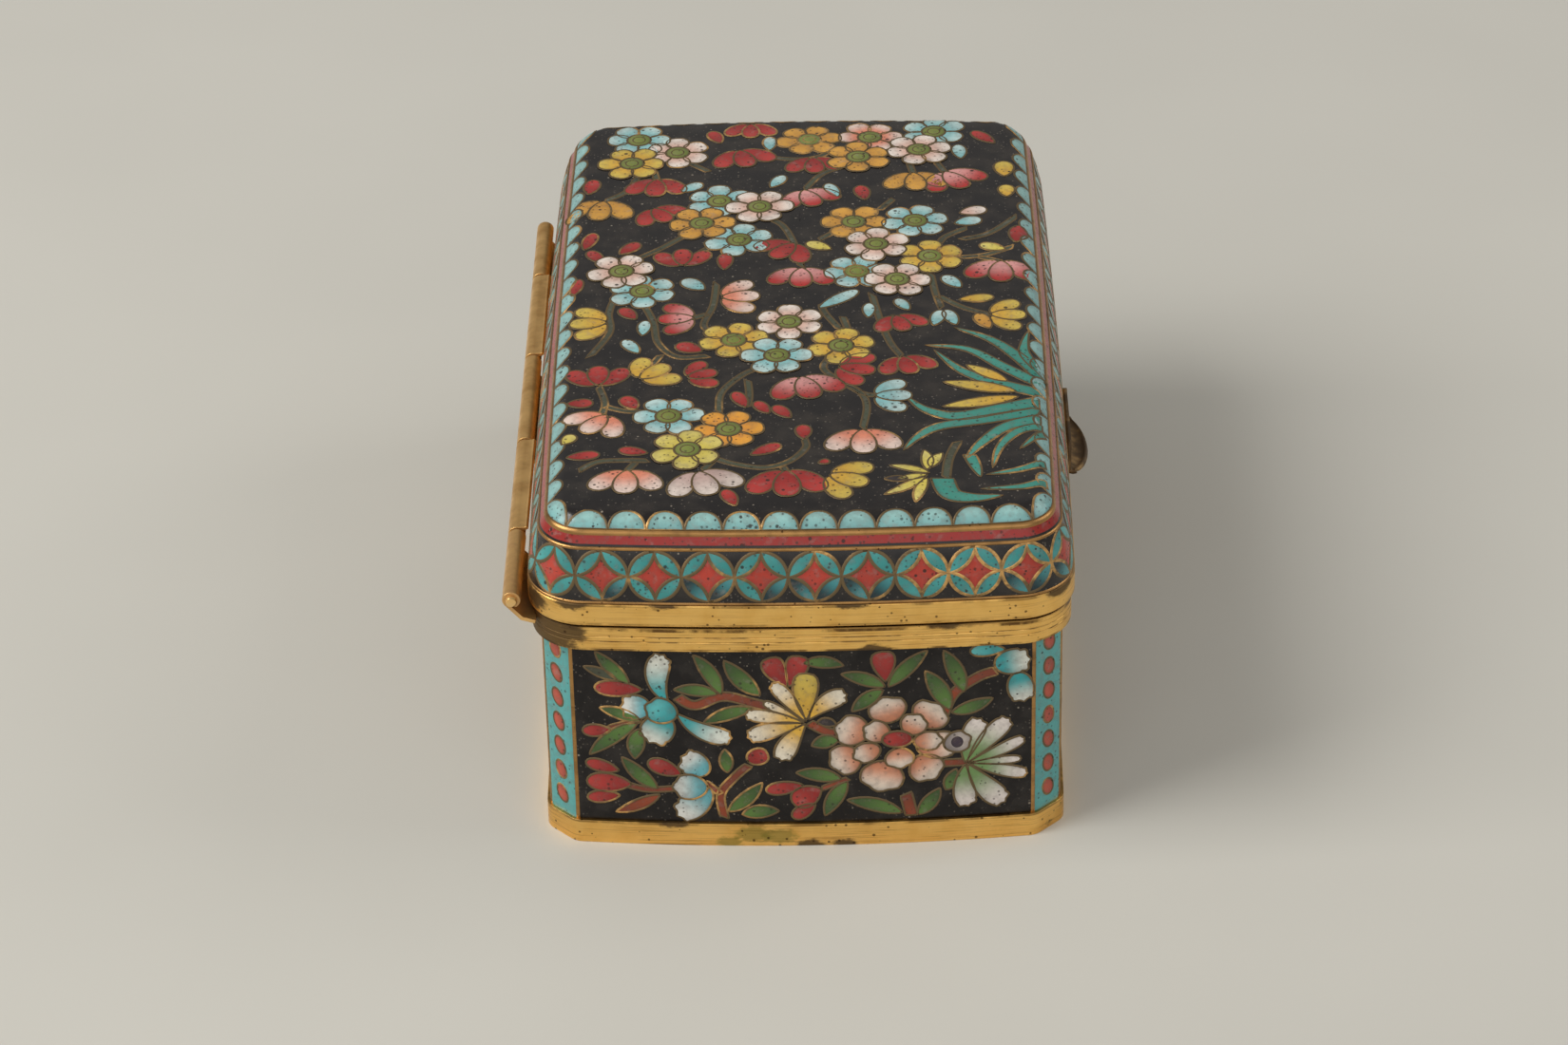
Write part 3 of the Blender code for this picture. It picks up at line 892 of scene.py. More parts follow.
def make_wire_brass(name, groups, gilt_and_glint_places):
    """The cloison wires: worn gilding, mostly brown, bright in places. The bright patches are
    partly gilding and partly painted glints.
    """
    material, tree, shader = new_material(name, metallic=0.5)
    wear = place_group(tree, groups.clouding, Scale=0.2, Low=0.52, High=0.68)
    for place in gilt_and_glint_places:
        wear = math_node(tree, "MAXIMUM", wear, stained(tree, groups, place))
    fine = place_group(tree, groups.clouding, Scale=1.4, Low=0.35, High=0.7)
    # the bright share is partly gilding and partly painted glints on the wires
    bright = math_node(tree, "MULTIPLY", wear, math_node(tree, "ADD", fine, 0.3), clamp=True)
    colour = mixed(tree, bright, linear(108, 90, 62), linear(206, 160, 96))
    surfaced(tree, shader, colour, bright, (0.5, 0.3))
    return material


def make_gilt(name, groups, golds, scored, stain, brown_places=(), green_places=(), lines=()):
    """Polished gilding with level scratches, brown stains and small pits.

    Scored is how dark the scratches are. A brown or green place is its X, Y, Z and radius in
    millimetres. A dark line is its height, half its width, how dark and how whole it is.
    """
    material, tree, shader = new_material(name, metallic=1.0)
    stains = place_group(tree, groups.clouding, Scale=0.16, Low=0.74 - 0.12 * stain, High=0.84)
    bloom = place_group(tree, groups.clouding, Scale=0.5, Low=0.35, High=0.85)
    scratch = place_group(tree, groups.scoring, Fineness=2.6, Length=0.12)
    streak = place_group(tree, groups.scoring, Fineness=0.9, Length=0.1)
    colour = mixed(tree, bloom, *(linear(*gold) for gold in golds))
    colour = tinted(tree, colour, ranged(tree, scratch, 0.44, 0.3), scored, SCRATCH_BROWN)
    colour = tinted(tree, colour, ranged(tree, streak, 0.38, 0.29), scored, STREAK_BROWN)
    for height, half, depth, whole in lines:
        line = place_group(tree, groups.level_line, Height=height, Half=half, Whole=whole)
        colour = tinted(tree, colour, line, depth, LINE_BROWN)
    for place in green_places:
        colour = tinted(tree, colour, stained(tree, groups, place), 0.6, CORROSION_GREEN)
    for place in brown_places:
        stains = math_node(tree, "MAXIMUM", stains, stained(tree, groups, place))
    colour = tinted(tree, colour, stains, 0.9, STAIN_BROWN)
    pit = place_group(tree, groups.pinholes, Spacing=1.5, Radius=0.3, Share=0.6)
    colour = tinted(tree, colour, pit, 0.8, GILT_PIT)
    surfaced(tree, shader, colour, stains, (0.38, 0.56))
    roughen(tree, shader, scratch, 0.25, 0.03)
    return material


def make_dark_brass(name, groups, brightness, brown):
    """Handled brass, brown in the hollows, with pale specks of corrosion. The darkest, on the
    tongue, is partly patina and partly painted shade.
    """
    material, tree, shader = new_material(name, metallic=0.75)
    low, high = 0.45 - brightness, 0.95 - brightness
    wear = place_group(tree, groups.clouding, Scale=0.35, Low=low, High=high)
    colour = mixed(tree, wear, linear(*brown), linear(236, 190, 120))
    speck = place_group(tree, groups.pinholes, Spacing=2.4, Radius=0.2, Share=0.3)
    colour = tinted(tree, colour, speck, 0.6, BRASS_SPECK)
    surfaced(tree, shader, colour, wear, (0.55, 0.3))
    roughen(tree, shader, wear, 0.2, 0.05)
    return material


def make_lining_enamel(name, groups):
    """Plain turquoise counter-enamel, uneven like orange peel."""
    material, tree, shader = new_material(name)
    cloud = place_group(tree, groups.clouding, Scale=0.25, Low=0.3, High=0.7)
    colour = mixed(tree, cloud, linear(78, 158, 160), linear(104, 182, 180))
    pit = place_group(tree, groups.pinholes, Spacing=0.7, Radius=0.14, Share=0.3)
    colour = tinted(tree, colour, pit, 0.8, LINING_PIT)
    peel = place_group(tree, groups.clouding, Scale=0.9, Low=0.2, High=0.8)
    surfaced(tree, shader, colour, peel, (0.2, 0.34))
    roughen(tree, shader, peel, 0.35, 0.08)
    return material


# Flowers and leaves, laid out in millimetres

# Open flowers: root, shortest and longest tip, and width of a petal, and its turn in degrees
PETAL_ROOT = 0.9
PETAL_TIPS = (3.35, 3.7)
PETAL_WIDTH = 2.5
PETAL_STRAY = 4

# Half flowers: spread and bend of the side petals in degrees, and width as a share of length
HALF_FLOWER_SPREAD = 41
HALF_FLOWER_BEND = -32
HALF_FLOWER_WIDTH = 0.56


def blossom(area, x, y, colour, turn, layer):
    """An open flower with six petals and a ringed green heart."""
    for number in range(6):
        angle = turn + number * 60 + chance.uniform(-PETAL_STRAY, PETAL_STRAY)
        root = point_at(angle, PETAL_ROOT, x, y)
        tip = point_at(angle, chance.uniform(*PETAL_TIPS), x, y)
        area.cell(blade(root, tip, PETAL_WIDTH, kind="round"), colour, layer)
    area.cell(round_shape(x, y, 1.3, 1.35), "core", layer + 1)
    ring, _ = round_shape(x, y, 0.68, 0.72)
    area.wire(np.vstack((ring, ring[:2])), HEART_WIRE_WIDTH, layer + 1)


def half_flower(area, x, y, facing, colour, length):
    """A flower seen from the side: a petal hanging in front of two that spread."""
    for side, reach, layer in ((1, 1.05, 1), (-1, 1.05, 1), (0, 0.95, 2)):
        spread = math.radians(HALF_FLOWER_SPREAD * side)
        along = length * reach * math.cos(spread)
        across = length * reach * math.sin(spread)
        places = turned(np.array(((0.0, 0.4 * side), (along, across))), facing, x, y)
        width = HALF_FLOWER_WIDTH * length
        area.cell(blade(*places, width, HALF_FLOWER_BEND * side, "egg"), colour, layer)


# Open flowers: middle, colour, turn in degrees and layer
LID_BLOSSOMS = (
    (-13.0, -22.7, "light_blue", 0, 1), (-11.0, -29.2, "yellow_green", 25, 3),
    (-7.0, -25.5, "orange", 5, 2), (-1.1, -4.4, "white_pink", 30, 1),
    (-6.7, -8.0, "yellow", 15, 2), (-2.3, -11.3, "light_blue", 0, 3),
    (4.2, -9.4, "yellow", 20, 1), (10.1, 4.2, "white_pink", 0, 3),
    (5.9, 6.0, "light_blue", 10, 1), (13.6, 9.2, "yellow", 30, 2),
    (8.0, 11.8, "white_pink", 25, 3), (5.7, 16.8, "ochre", 0, 1),
    (12.2, 17.0, "light_blue", 15, 1), (-4.3, 20.4, "white_pink", 0, 3),
    (-8.6, 21.9, "light_blue", 30, 1), (-10.4, 17.0, "ochre", 5, 2),
    (-6.4, 13.2, "light_blue", 20, 1), (-18.6, 7.0, "white_pink", 10, 3),
    (-16.3, 2.7, "light_blue", 35, 1), (-18.2, 31.0, "yellow", 0, 3),
    (-13.3, 33.4, "white_pink", 30, 1), (-17.6, 36.6, "light_blue", 0, 1),
    (1.0, 36.0, "ochre", 10, 1), (6.3, 31.6, "ochre", 30, 3), (7.6, 36.4, "pink", 0, 1),
    (12.9, 33.2, "white_pink", 15, 3), (14.6, 37.6, "light_blue", 30, 1),
)

# Half flowers: root, the way they face in degrees, colour and length
LID_HALF_FLOWERS = (
    (-19.2, -22.2, 237, "pink", 4.1), (-16.8, -32.8, 268, "pink", 4.4),
    (-9.8, -33.3, 286, "mauve", 4.6), (-1.3, -33.4, 272, "red", 4.8),
    (6.2, -26.0, 272, "pink", 4.6), (3.0, -34.2, 335, "yellow", 4.2),
    (7.6, -19.4, 0, "light_blue", 3.8), (0.2, -15.6, 285, "pale_red", 4.6),
    (-20.2, -16.2, 92, "red", 3.9), (-16.0, -15.2, 42, "yellow", 3.9),
    (-11.2, -15.2, 18, "red", 3.2), (4.0, -13.6, 345, "red", 3.9),
    (10.4, -11.8, 285, "red", 3.6), (-8.0, 1.0, 2, "pink", 4.1),
    (0.2, 6.8, 268, "pale_red", 4.2), (-0.6, 12.2, 235, "red", 4.0),
    (-10.9, -3.2, 182, "pale_red", 3.8), (21.0, 8.2, 268, "pale_red", 4.6),
    (19.6, -3.1, 0, "yellow", 3.8), (-19.8, -3.6, 182, "yellow", 4.0),
    (-12.2, 8.0, 92, "red", 3.6), (-15.6, 20.6, 300, "red", 3.6),
    (-15.4, 27.2, 268, "red", 4.0), (-21.0, 22.6, 262, "ochre", 4.4),
    (12.2, 27.8, 275, "ochre", 4.2), (15.6, 28.0, 300, "pale_red", 4.4),
    (-6.6, 33.6, 285, "red", 4.2), (1.4, 31.6, 275, "red", 3.8),
    (0.4, 24.0, 290, "pale_red", 4.0), (9.8, -3.4, 288, "red", 3.4),
    (-5.4, 40.0, 270, "red", 3.4),
)

# Single buds and small leaves: middle, angle in degrees, length, width and colour
LID_BUDS = (
    (-21.2, -29.8, 8, 3.2, 1.6, "red"), (-16.3, -29.2, 165, 2.9, 1.5, "red"),
    (-3.3, -29.4, 32, 3.4, 1.6, "red"), (0.4, -26.2, 92, 2.6, 1.6, "red"),
    (-6.7, -38.0, 112, 3.0, 1.5, "red"), (-5.9, -19.8, 112, 3.2, 1.5, "red"),
    (-3.7, -21.4, 120, 2.6, 1.4, "red"), (-1.7, -22.3, 125, 2.8, 1.5, "red"),
    (-21.9, -19.7, 0, 2.6, 1.7, "red"), (-16.9, -19.9, 118, 2.8, 1.8, "red"),
    (-11.2, -9.3, 150, 3.0, 2.0, "red"), (-15.9, -5.0, 85, 3.0, 1.4, "light_blue"),
    (-17.1, -8.7, 120, 3.2, 1.5, "light_blue"), (-17.6, -1.9, 125, 2.8, 1.6, "red"),
    (4.0, 0.2, 42, 5.4, 1.7, "light_blue"), (7.1, -2.2, 88, 2.9, 1.3, "light_blue"),
    (10.6, -1.0, 118, 2.6, 1.4, "light_blue"), (14.1, -3.8, 75, 3.2, 1.5, "light_blue"),
    (15.5, -3.7, 108, 3.2, 1.5, "light_blue"), (18.8, -4.4, 112, 3.2, 1.7, "ochre"),
    (18.2, 0.3, 10, 3.6, 1.6, "yellow"), (15.8, 3.8, 125, 3.0, 1.7, "light_blue"),
    (-11.0, 3.8, 135, 3.2, 2.0, "light_blue"), (18.4, 19.2, 20, 3.0, 1.9, "white_pink"),
    (17.8, 16.9, 20, 3.0, 1.9, "light_blue"), (20.2, 11.3, 160, 2.8, 1.6, "yellow_green"),
    (23.0, 14.2, 80, 3.6, 2.0, "red"), (-7.8, 8.6, 88, 3.4, 1.6, "red"),
    (2.0, 11.6, 150, 3.0, 1.7, "yellow_green"), (3.5, 24.0, 112, 3.2, 1.5, "light_blue"),
    (6.7, 23.4, 100, 3.2, 1.7, "red"), (-2.4, 26.2, 62, 3.0, 1.5, "light_blue"),
    (-3.3, 35.2, 90, 3.2, 1.5, "light_blue"), (17.3, 32.8, 95, 3.2, 1.6, "light_blue"),
    (22.0, 28.8, 90, 3.4, 2.2, "yellow"), (22.1, 23.8, 90, 2.6, 1.8, "yellow"),
    (-22.4, 26.0, 80, 3.2, 1.8, "red"), (-22.2, 13.8, 75, 3.6, 1.5, "red"),
    (-21.4, 10.4, 120, 3.0, 1.5, "red"), (-17.9, 12.0, 50, 3.0, 1.7, "red"),
    (-23.2, 4.0, 80, 3.4, 1.3, "red"), (-11.6, 25.2, 40, 2.8, 1.7, "light_blue"),
    (20.0, 36.2, 130, 3.6, 1.6, "red"), (-9.2, 37.0, 110, 3.0, 1.6, "red"),
    (9.4, -35.0, 0, 2.2, 1.0, "dark"), (2.4, -31.8, 20, 1.1, 0.9, "red"),
    (-22.8, -26.6, 60, 2.0, 1.5, "yellow_green"),
)

LID_STEMS = (
    ((6.2, -26.0), (6.7, -21.5), (6.0, -18.6), (3.6, -15.9), (2.4, -13.6), (3.4, -11.0)),
    ((7.6, -19.4), (6.2, -18.8), (4.4, -16.8)),
    ((-8.6, -30.6), (-6.4, -31.9), (-3.4, -32.7), (-1.0, -31.6), (0.6, -29.2), (0.5, -27.4)),
    ((-1.3, -33.4), (-1.6, -32.6)),
    ((-21.6, -32.6), (-19.8, -31.0), (-17.4, -30.8), (-14.6, -31.0)),
    ((-16.8, -32.8), (-16.0, -31.2)),
    ((-9.4, -33.0), (-8.4, -31.2)),
    ((-19.6, -22.0), (-19.4, -19.6), (-20.2, -16.2)),
    ((-19.4, -20.4), (-17.4, -21.4), (-15.6, -21.6)),
    ((-8.0, -22.4), (-7.8, -18.4), (-5.8, -15.0), (-3.8, -13.4)),
    ((-5.2, -15.8), (-5.0, -19.0), (-5.2, -21.4)),
    ((-16.6, 1.6), (-15.0, -3.6), (-14.4, -8.0), (-12.4, -11.0), (-9.0, -11.0)),
    ((-16.0, -15.2), (-14.0, -10.4)),
    ((-18.8, 3.2), (-19.6, -1.6), (-19.4, -5.6), (-21.4, -10.8)),
    ((-8.6, 4.4), (-8.9, -0.6), (-9.8, -4.6), (-8.8, -6.4)),
    ((-10.9, -3.2), (-9.4, -2.4)),
    ((7.4, 1.6), (8.2, -4.0), (9.2, -8.8), (10.4, -11.8)),
    ((9.8, -3.4), (8.2, -4.4)),
    ((13.6, 5.8), (14.0, 1.6), (14.6, -2.0)),
    ((14.1, 1.0), (16.8, -1.6), (19.6, -3.1)),
    ((4.4, -3.4), (5.0, -6.4)),
    ((4.2, -6.2), (2.6, -2.6), (2.2, -0.6)),
    ((0.2, 6.8), (-0.6, 12.2), (-1.8, 16.2), (-3.4, 18.0)),
    ((2.0, 13.0), (3.6, 14.6)),
    ((-12.2, 8.0), (-10.4, 10.8), (-8.6, 12.4)),
    ((-12.0, 14.6), (-14.6, 11.8), (-17.2, 9.6)),
    ((-21.0, 22.6), (-18.6, 24.8), (-17.4, 28.4)),
    ((-15.4, 27.2), (-15.8, 29.4)),
    ((-15.6, 20.6), (-13.2, 19.4)),
    ((-9.8, 28.8), (-12.0, 31.0)),
    ((-6.6, 33.6), (-2.0, 31.6), (1.4, 31.6), (3.4, 33.2)),
    ((0.4, 24.0), (2.2, 27.6), (4.4, 29.4)),
    ((12.2, 27.8), (11.8, 30.4)),
    ((15.6, 28.0), (14.6, 30.8)),
    ((10.0, 22.0), (8.4, 19.4)),
    ((17.8, 15.6), (15.4, 13.6), (14.6, 12.0)),
    ((22.6, 11.6), (19.4, 9.6), (16.6, 9.0)),
    ((23.2, 18.4), (20.0, 14.4), (16.8, 12.8)),
    ((21.0, 8.2), (18.6, 9.2)),
)

# The iris at the right edge: width of a leaf and its line from root to tip
IRIS_LEAVES = (
    (1.9, (24.2, -20.4), (20.0, -22.0), (15.6, -23.4), (12.6, -22.2), (10.6, -19.6)),
    (1.5, (24.2, -22.2), (18.6, -24.0), (13.8, -25.4), (11.6, -27.4), (10.2, -29.8)),
    (1.5, (24.2, -23.6), (20.4, -25.4), (17.8, -28.6), (16.2, -31.6)),
    (1.1, (24.2, -25.0), (21.4, -26.4), (19.6, -29.4), (18.8, -33.2)),
    (0.8, (24.2, -26.0), (23.0, -27.6), (21.6, -29.6)),
    (1.0, (24.2, -31.8), (21.6, -33.4), (18.2, -34.4)),
    (1.1, (24.2, -35.4), (21.6, -36.6), (17.6, -37.0)),
    (1.2, (16.6, -30.6), (17.2, -33.0), (17.6, -34.8)),
    (2.2, (13.8, -34.8), (14.6, -37.8), (16.8, -38.6), (19.6, -38.2)),
    (1.6, (24.2, -19.0), (20.0, -17.0), (16.4, -14.6), (13.6, -10.4)),
    (1.4, (24.2, -17.2), (20.6, -13.8), (17.0, -10.2), (12.8, -9.4)),
    (1.5, (24.2, -15.6), (22.0, -11.6), (19.4, -8.2), (15.8, -5.8)),
    (1.2, (24.2, -14.4), (22.8, -11.2), (22.8, -9.0), (23.3, -6.4)),
)

# Yellow iris buds, and the yellow spray below them: root, tip, width and bend
IRIS_BUDS = (
    ((20.8, -16.6), (16.8, -13.4), 1.5, 0),
    ((21.6, -18.6), (14.4, -16.8), 1.9, 4),
    ((21.8, -19.6), (14.2, -21.6), 1.8, -6),
)
YELLOW_SPRAY = (
    ((12.6, -34.0), (8.8, -32.6), 1.0, 20),
    ((12.4, -33.4), (12.2, -29.8), 1.2, 25),
    ((12.8, -33.0), (14.0, -30.4), 1.2, -30),
    ((12.2, -34.6), (8.2, -37.8), 1.1, -22),
    ((12.4, -35.0), (11.2, -39.2), 1.1, 15),
    ((12.4, -34.4), (9.6, -35.0), 1.0, 0),
)


def lay_lid_top(area):
    """The flowers of the lid on their black field."""
    for points in LID_STEMS:
        area.stem(points, STEM_WIDTH)
    area.stem(((14.2, -35.2), (14.6, -31.4), (15.6, -28.0)), 0.8)
    for width, *points in IRIS_LEAVES:
        path = smooth_path(points)
        share = np.linspace(0, 1, len(path))
        half = (share + 0.25) ** 0.3 * (1 - share) ** 0.75
        area.cell(widened(path, half * width / 2 / half.max()), "teal", 1)
    for petals, colour, layer in ((IRIS_BUDS, "yellow", 2), (YELLOW_SPRAY, "yellow_green", 1)):
        for petal in petals:
            area.cell(blade(*petal), colour, layer)
    for x, y, angle, length, width, colour in LID_BUDS:
        half = point_at(angle, length / 2)
        area.cell(blade((x, y) - half, (x, y) + half, width, 0, "bud"), colour, 1)
    for flower in LID_HALF_FLOWERS:
        half_flower(area, *flower)
    for flower in LID_BLOSSOMS:
        blossom(area, *flower)


# The panel on each side. Blades of one kind, colour and layer: X and height above the ground
# of the root and of the tip, then width and bend
PANEL_BLADES = (
    ("petal", "turquoise_white", 2, ((-13.2, 16.9, -13.5, 22.4, 2.3, -72),)),
    ("round", "blue_white", 1, ((-15.0, 16.2, -17.8, 16.2, 2.9, 0),)),
    ("round", "turquoise_white", 1, ((-13.4, 15.2, -15.2, 12.2, 3.3, 0),)),
    ("petal", "turquoise_white", 2, ((-12.4, 15.6, -7.2, 12.8, 2.0, 46),)),
    ("round", "blue_white", 1, (
        (-10.0, 8.2, -12.0, 10.4, 2.9, 40), (-9.8, 7.0, -12.6, 3.4, 3.0, -40),
    )),
    ("petal", "yellow_white", 2, ((0.2, 14.8, -2.9, 19.2, 1.5, 10),)),
    ("petal", "yellow", 2, ((0.3, 15.0, 0.4, 20.4, 2.5, -10),)),
    ("petal", "yellow_white", 2, ((0.6, 15.0, 4.2, 17.8, 2.0, -48),)),
    ("petal", "yellow_white", 1, ((0.0, 14.7, -3.8, 17.0, 0.9, 0),)),
    ("petal", "yellow_white", 2, (
        (0.0, 14.6, -5.6, 15.6, 1.5, 8), (0.0, 14.5, -5.4, 12.9, 1.9, 12),
        (0.2, 14.4, -2.2, 10.2, 2.1, 28),
    )),
    ("petal", "green_white", 2, (
        (15.9, 9.2, 17.4, 14.2, 2.2, -24), (16.1, 9.2, 20.2, 14.0, 2.0, -12),
        (16.3, 9.2, 21.7, 11.6, 1.3, 10), (16.4, 9.1, 21.4, 9.2, 0.9, 0),
        (16.4, 9.0, 22.0, 7.4, 1.4, 8), (16.2, 8.9, 19.8, 4.2, 2.4, 24),
        (15.9, 8.9, 16.2, 4.0, 2.2, 28),
    )),
    ("round", "turquoise_white", 2, (
        (18.8, 20.6, 22.2, 20.9, 2.9, 0), (21.0, 19.4, 21.7, 16.1, 2.6, 0),
    )),
    ("bud", "turquoise", 1, ((19.8, 22.2, 16.4, 22.2, 1.4, 14),)),
    ("bud", "red", 1, (
        (-15.8, 18.3, -20.4, 18.4, 1.8, 0), (-19.0, 13.4, -21.8, 13.2, 1.4, 0),
        (-18.4, 8.6, -21.6, 9.5, 1.4, 0), (-17.2, 7.0, -21.6, 7.2, 2.2, 0),
        (-18.4, 5.6, -21.6, 5.2, 1.4, 0),
    )),
    ("bud", "red", 2, ((-12.2, 8.4, -15.4, 9.8, 1.8, 0),)),
    ("round", "red", 1, ((-5.6, 10.2, -3.6, 10.9, 1.9, 0),)),
    ("petal", "red", 1, (
        (-1.5, 18.9, -3.2, 22.2, 2.2, -20), (-1.4, 18.9, -0.3, 22.4, 2.2, 20),
        (8.1, 19.2, 7.8, 22.7, 2.3, 0),
    )),
    ("bud", "red", 1, (
        (-0.2, 7.1, -3.8, 6.5, 1.5, 0), (1.6, 6.6, -1.2, 5.0, 2.5, 0),
        (1.0, 4.8, -1.2, 3.2, 1.5, 0),
    )),
    ("leaf", "leaf", 1, ((-17.0, 19.0, -20.2, 22.6, 1.4, -8),)),
    ("leaf", "stem", 1, ((-18.2, 19.4, -21.4, 20.8, 1.0, 8),)),
    ("leaf", "leaf", 1, (
        (-16.0, 14.6, -20.0, 16.0, 1.3, 12), (-16.4, 14.3, -21.2, 10.4, 1.5, 18),
        (-16.2, 13.6, -16.7, 10.1, 1.7, 14), (-14.6, 6.6, -18.0, 10.2, 1.5, -14),
    )),
    ("leaf", "branch", 1, ((-14.4, 5.8, -18.8, 3.6, 1.2, -14),)),
    ("leaf", "leaf", 1, (
        (-8.0, 18.0, -10.6, 22.5, 1.5, 26), (-8.4, 18.0, -12.6, 18.4, 1.3, 22),
        (-4.2, 17.9, -7.6, 21.9, 1.8, -18), (-5.0, 16.3, -9.8, 14.5, 1.4, 20),
        (-7.6, 8.7, -7.8, 11.4, 1.3, 0), (-7.6, 4.0, -4.2, 7.4, 1.5, 20),
        (-6.2, 3.6, -2.6, 4.0, 1.5, -20), (3.6, 7.8, -0.8, 8.6, 1.5, 14),
        (4.2, 7.4, 2.0, 3.4, 1.6, 16), (9.6, 3.5, 4.2, 5.2, 1.5, 18),
        (0.2, 21.6, 4.0, 21.2, 1.3, -30), (8.0, 18.6, 3.8, 20.2, 1.4, 20),
        (8.4, 18.6, 12.2, 22.6, 1.5, -12), (7.8, 18.2, 4.8, 15.8, 1.5, 16),
        (14.4, 15.6, 12.0, 20.2, 1.8, 14), (15.8, 17.6, 13.8, 22.5, 1.6, 14),
        (14.6, 15.2, 18.6, 16.6, 1.4, 16), (3.4, 12.4, 0.8, 11.8, 1.5, 30),
        (11.2, 3.2, 13.4, 6.2, 1.5, 16), (14.0, 6.0, 15.0, 8.4, 1.4, 12),
    )),
    ("leaf", "dark", 2, ((1.4, 14.6, 3.2, 14.2, 1.0, -50),)),
)

# Broad petals: middle, length, width, angle in degrees and layer
PANEL_BROAD_PETALS = (
    (4.8, 13.5, 3.4, 3.6, 165, 1), (8.3, 15.8, 3.0, 3.8, 108, 1), (12.4, 15.0, 3.0, 4.0, 48, 1),
    (13.2, 11.4, 4.2, 3.2, 5, 1), (12.0, 8.8, 3.2, 3.6, 305, 1), (7.7, 8.0, 3.6, 4.4, 255, 1),
    (4.1, 10.1, 3.2, 3.6, 205, 1), (7.2, 13.3, 2.7, 2.6, 155, 3), (10.8, 14.0, 2.5, 2.7, 60, 3),
    (12.2, 12.0, 2.8, 2.2, 0, 3), (9.4, 10.1, 2.4, 2.9, 275, 3), (6.2, 10.9, 2.8, 2.3, 205, 3),
)

# Branches: width and line from root to tip
PANEL_BRANCHES = (
    (1.0, (-12.4, 17.6), (-10.6, 16.6), (-7.8, 17.7), (-4.8, 16.9), (-2.4, 16.2)),
    (0.8, (-8.0, 3.0), (-8.3, 6.0), (-6.8, 8.2), (-5.4, 9.6)),
    (0.6, (-8.3, 6.0), (-9.8, 7.4)),
    (1.0, (13.6, 14.6), (14.8, 17.4), (17.2, 19.2), (19.0, 19.8)),
    (1.2, (10.6, 3.0), (10.0, 5.8)),
    (0.9, (0.4, 14.6), (2.4, 13.4), (4.2, 13.2)),
    (0.8, (13.6, 9.2), (16.2, 9.2)),
    (0.6, (-15.8, 14.8), (-19.2, 13.6)),
    (0.6, (-10.4, 7.0), (-15.2, 6.4), (-18.0, 7.0)),
    (0.5, (1.6, 6.6), (4.4, 7.8)),
)


def lay_panel(area):
    """The flowers of one side panel."""
    for width, *points in PANEL_BRANCHES:
        area.stem(points, width, "branch")
    for kind, colour, layer, blades in PANEL_BLADES:
        shaped = frilled_blade if colour.endswith("white") else blade
        for root_x, root_up, tip_x, tip_up, width, bend in blades:
            shape = shaped((root_x, root_up), (tip_x, tip_up), width, bend, kind)
            area.cell(shape, colour, layer)
    for x, y, length, width, angle, layer in PANEL_BROAD_PETALS:
        shape = lobed_petal(x, y, length, width, angle)
        area.cell(shape, "peony", layer, toward=point_at(angle, length / 2, x, y))
    area.cell(round_shape(9.2, 12.4, 1.5, 0.95), "red", 5)
    area.cell(lobed_petal(15.1, 11.7, 2.7, 2.5, 20), "grey_petal", 3)
    area.cell(round_shape(15.1, 11.7, 0.6, 0.66), "plum", 4, wire=0)
    area.cell(lobed_petal(-13.9, 15.9, 3.2, 3.0, 160), "turquoise", 4, toward=(-15.0, 16.6))
    area.cell(lobed_petal(-11.3, 6.9, 3.4, 3.0, 180), "blue_white", 4, toward=(-13.0, 6.9))


# Bands that run all round


def coin_shapes(x, y, radius):
    """The four lenses and the hollow-sided diamond of one coin."""
    share = np.linspace(0, math.pi / 2, 9)
    outer = np.column_stack((np.cos(share), np.sin(share))) * radius
    mirrored = radius - outer[:, ::-1]
    chord = (outer + mirrored) / 2
    inner = chord + (mirrored - chord) * LENS_HOLLOW
    heart = (outer + inner)[np.clip(np.arange(9), 1, 7)] / 2
    edge = np.vstack((outer, inner[-2:0:-1]))
    middle = np.vstack((heart, heart[-2:0:-1]))
    angles = (0, 90, 180, 270)
    lenses = [(turned(edge, angle, x, y), turned(middle, angle, x, y)) for angle in angles]
    sides = [turned(inner[:-1], angle, x, y) for angle in angles]
    return lenses, about(np.vstack(sides), x, y)


# Narrow strips of black left beside the coins and the scallops, in millimetres
COIN_MARGIN = 0.05
SCALLOP_MARGIN = 0.06


def lay_coin_band(area, band):
    """Touching coins all round the side of the lid."""
    count = round(band.length / COIN_PITCH)
    pitch = band.length / count
    for number in range(count):
        x = COIN_START + number * pitch
        lenses, diamond = coin_shapes(x, band.height / 2, pitch / 2 - COIN_MARGIN)
        for quarter, lens in enumerate(lenses):
            mottled = quarter > 1 and chance.random() < LENS_MOTTLED
            area.cell(lens, "coin_dark" if mottled else "coin_blue", 1, COIN_WIRE_WIDTH)
        area.cell(diamond, "coin_red", 0, wire=0)


def lay_scallops(area, band):
    """Half-round scallops on the shoulder, their straight sides on the gilt wire."""
    count = round(band.length / SCALLOP_PITCH)
    pitch = band.length / count
    radius = pitch / 2 - SCALLOP_MARGIN
    around = np.linspace(0, math.pi, 15)
    arc = np.column_stack((np.cos(around) * radius, np.sin(around) * band.height * 0.93))
    base = np.column_stack((np.linspace(-radius, radius, 7)[1:-1], np.zeros(5)))
    for number in range(count):
        x = (number + 0.5) * pitch
        edge = np.vstack((arc, base)) + (x, 0.0)
        area.cell(about(edge, x, radius * 0.4), "scallop", 1, toward=(x, radius))


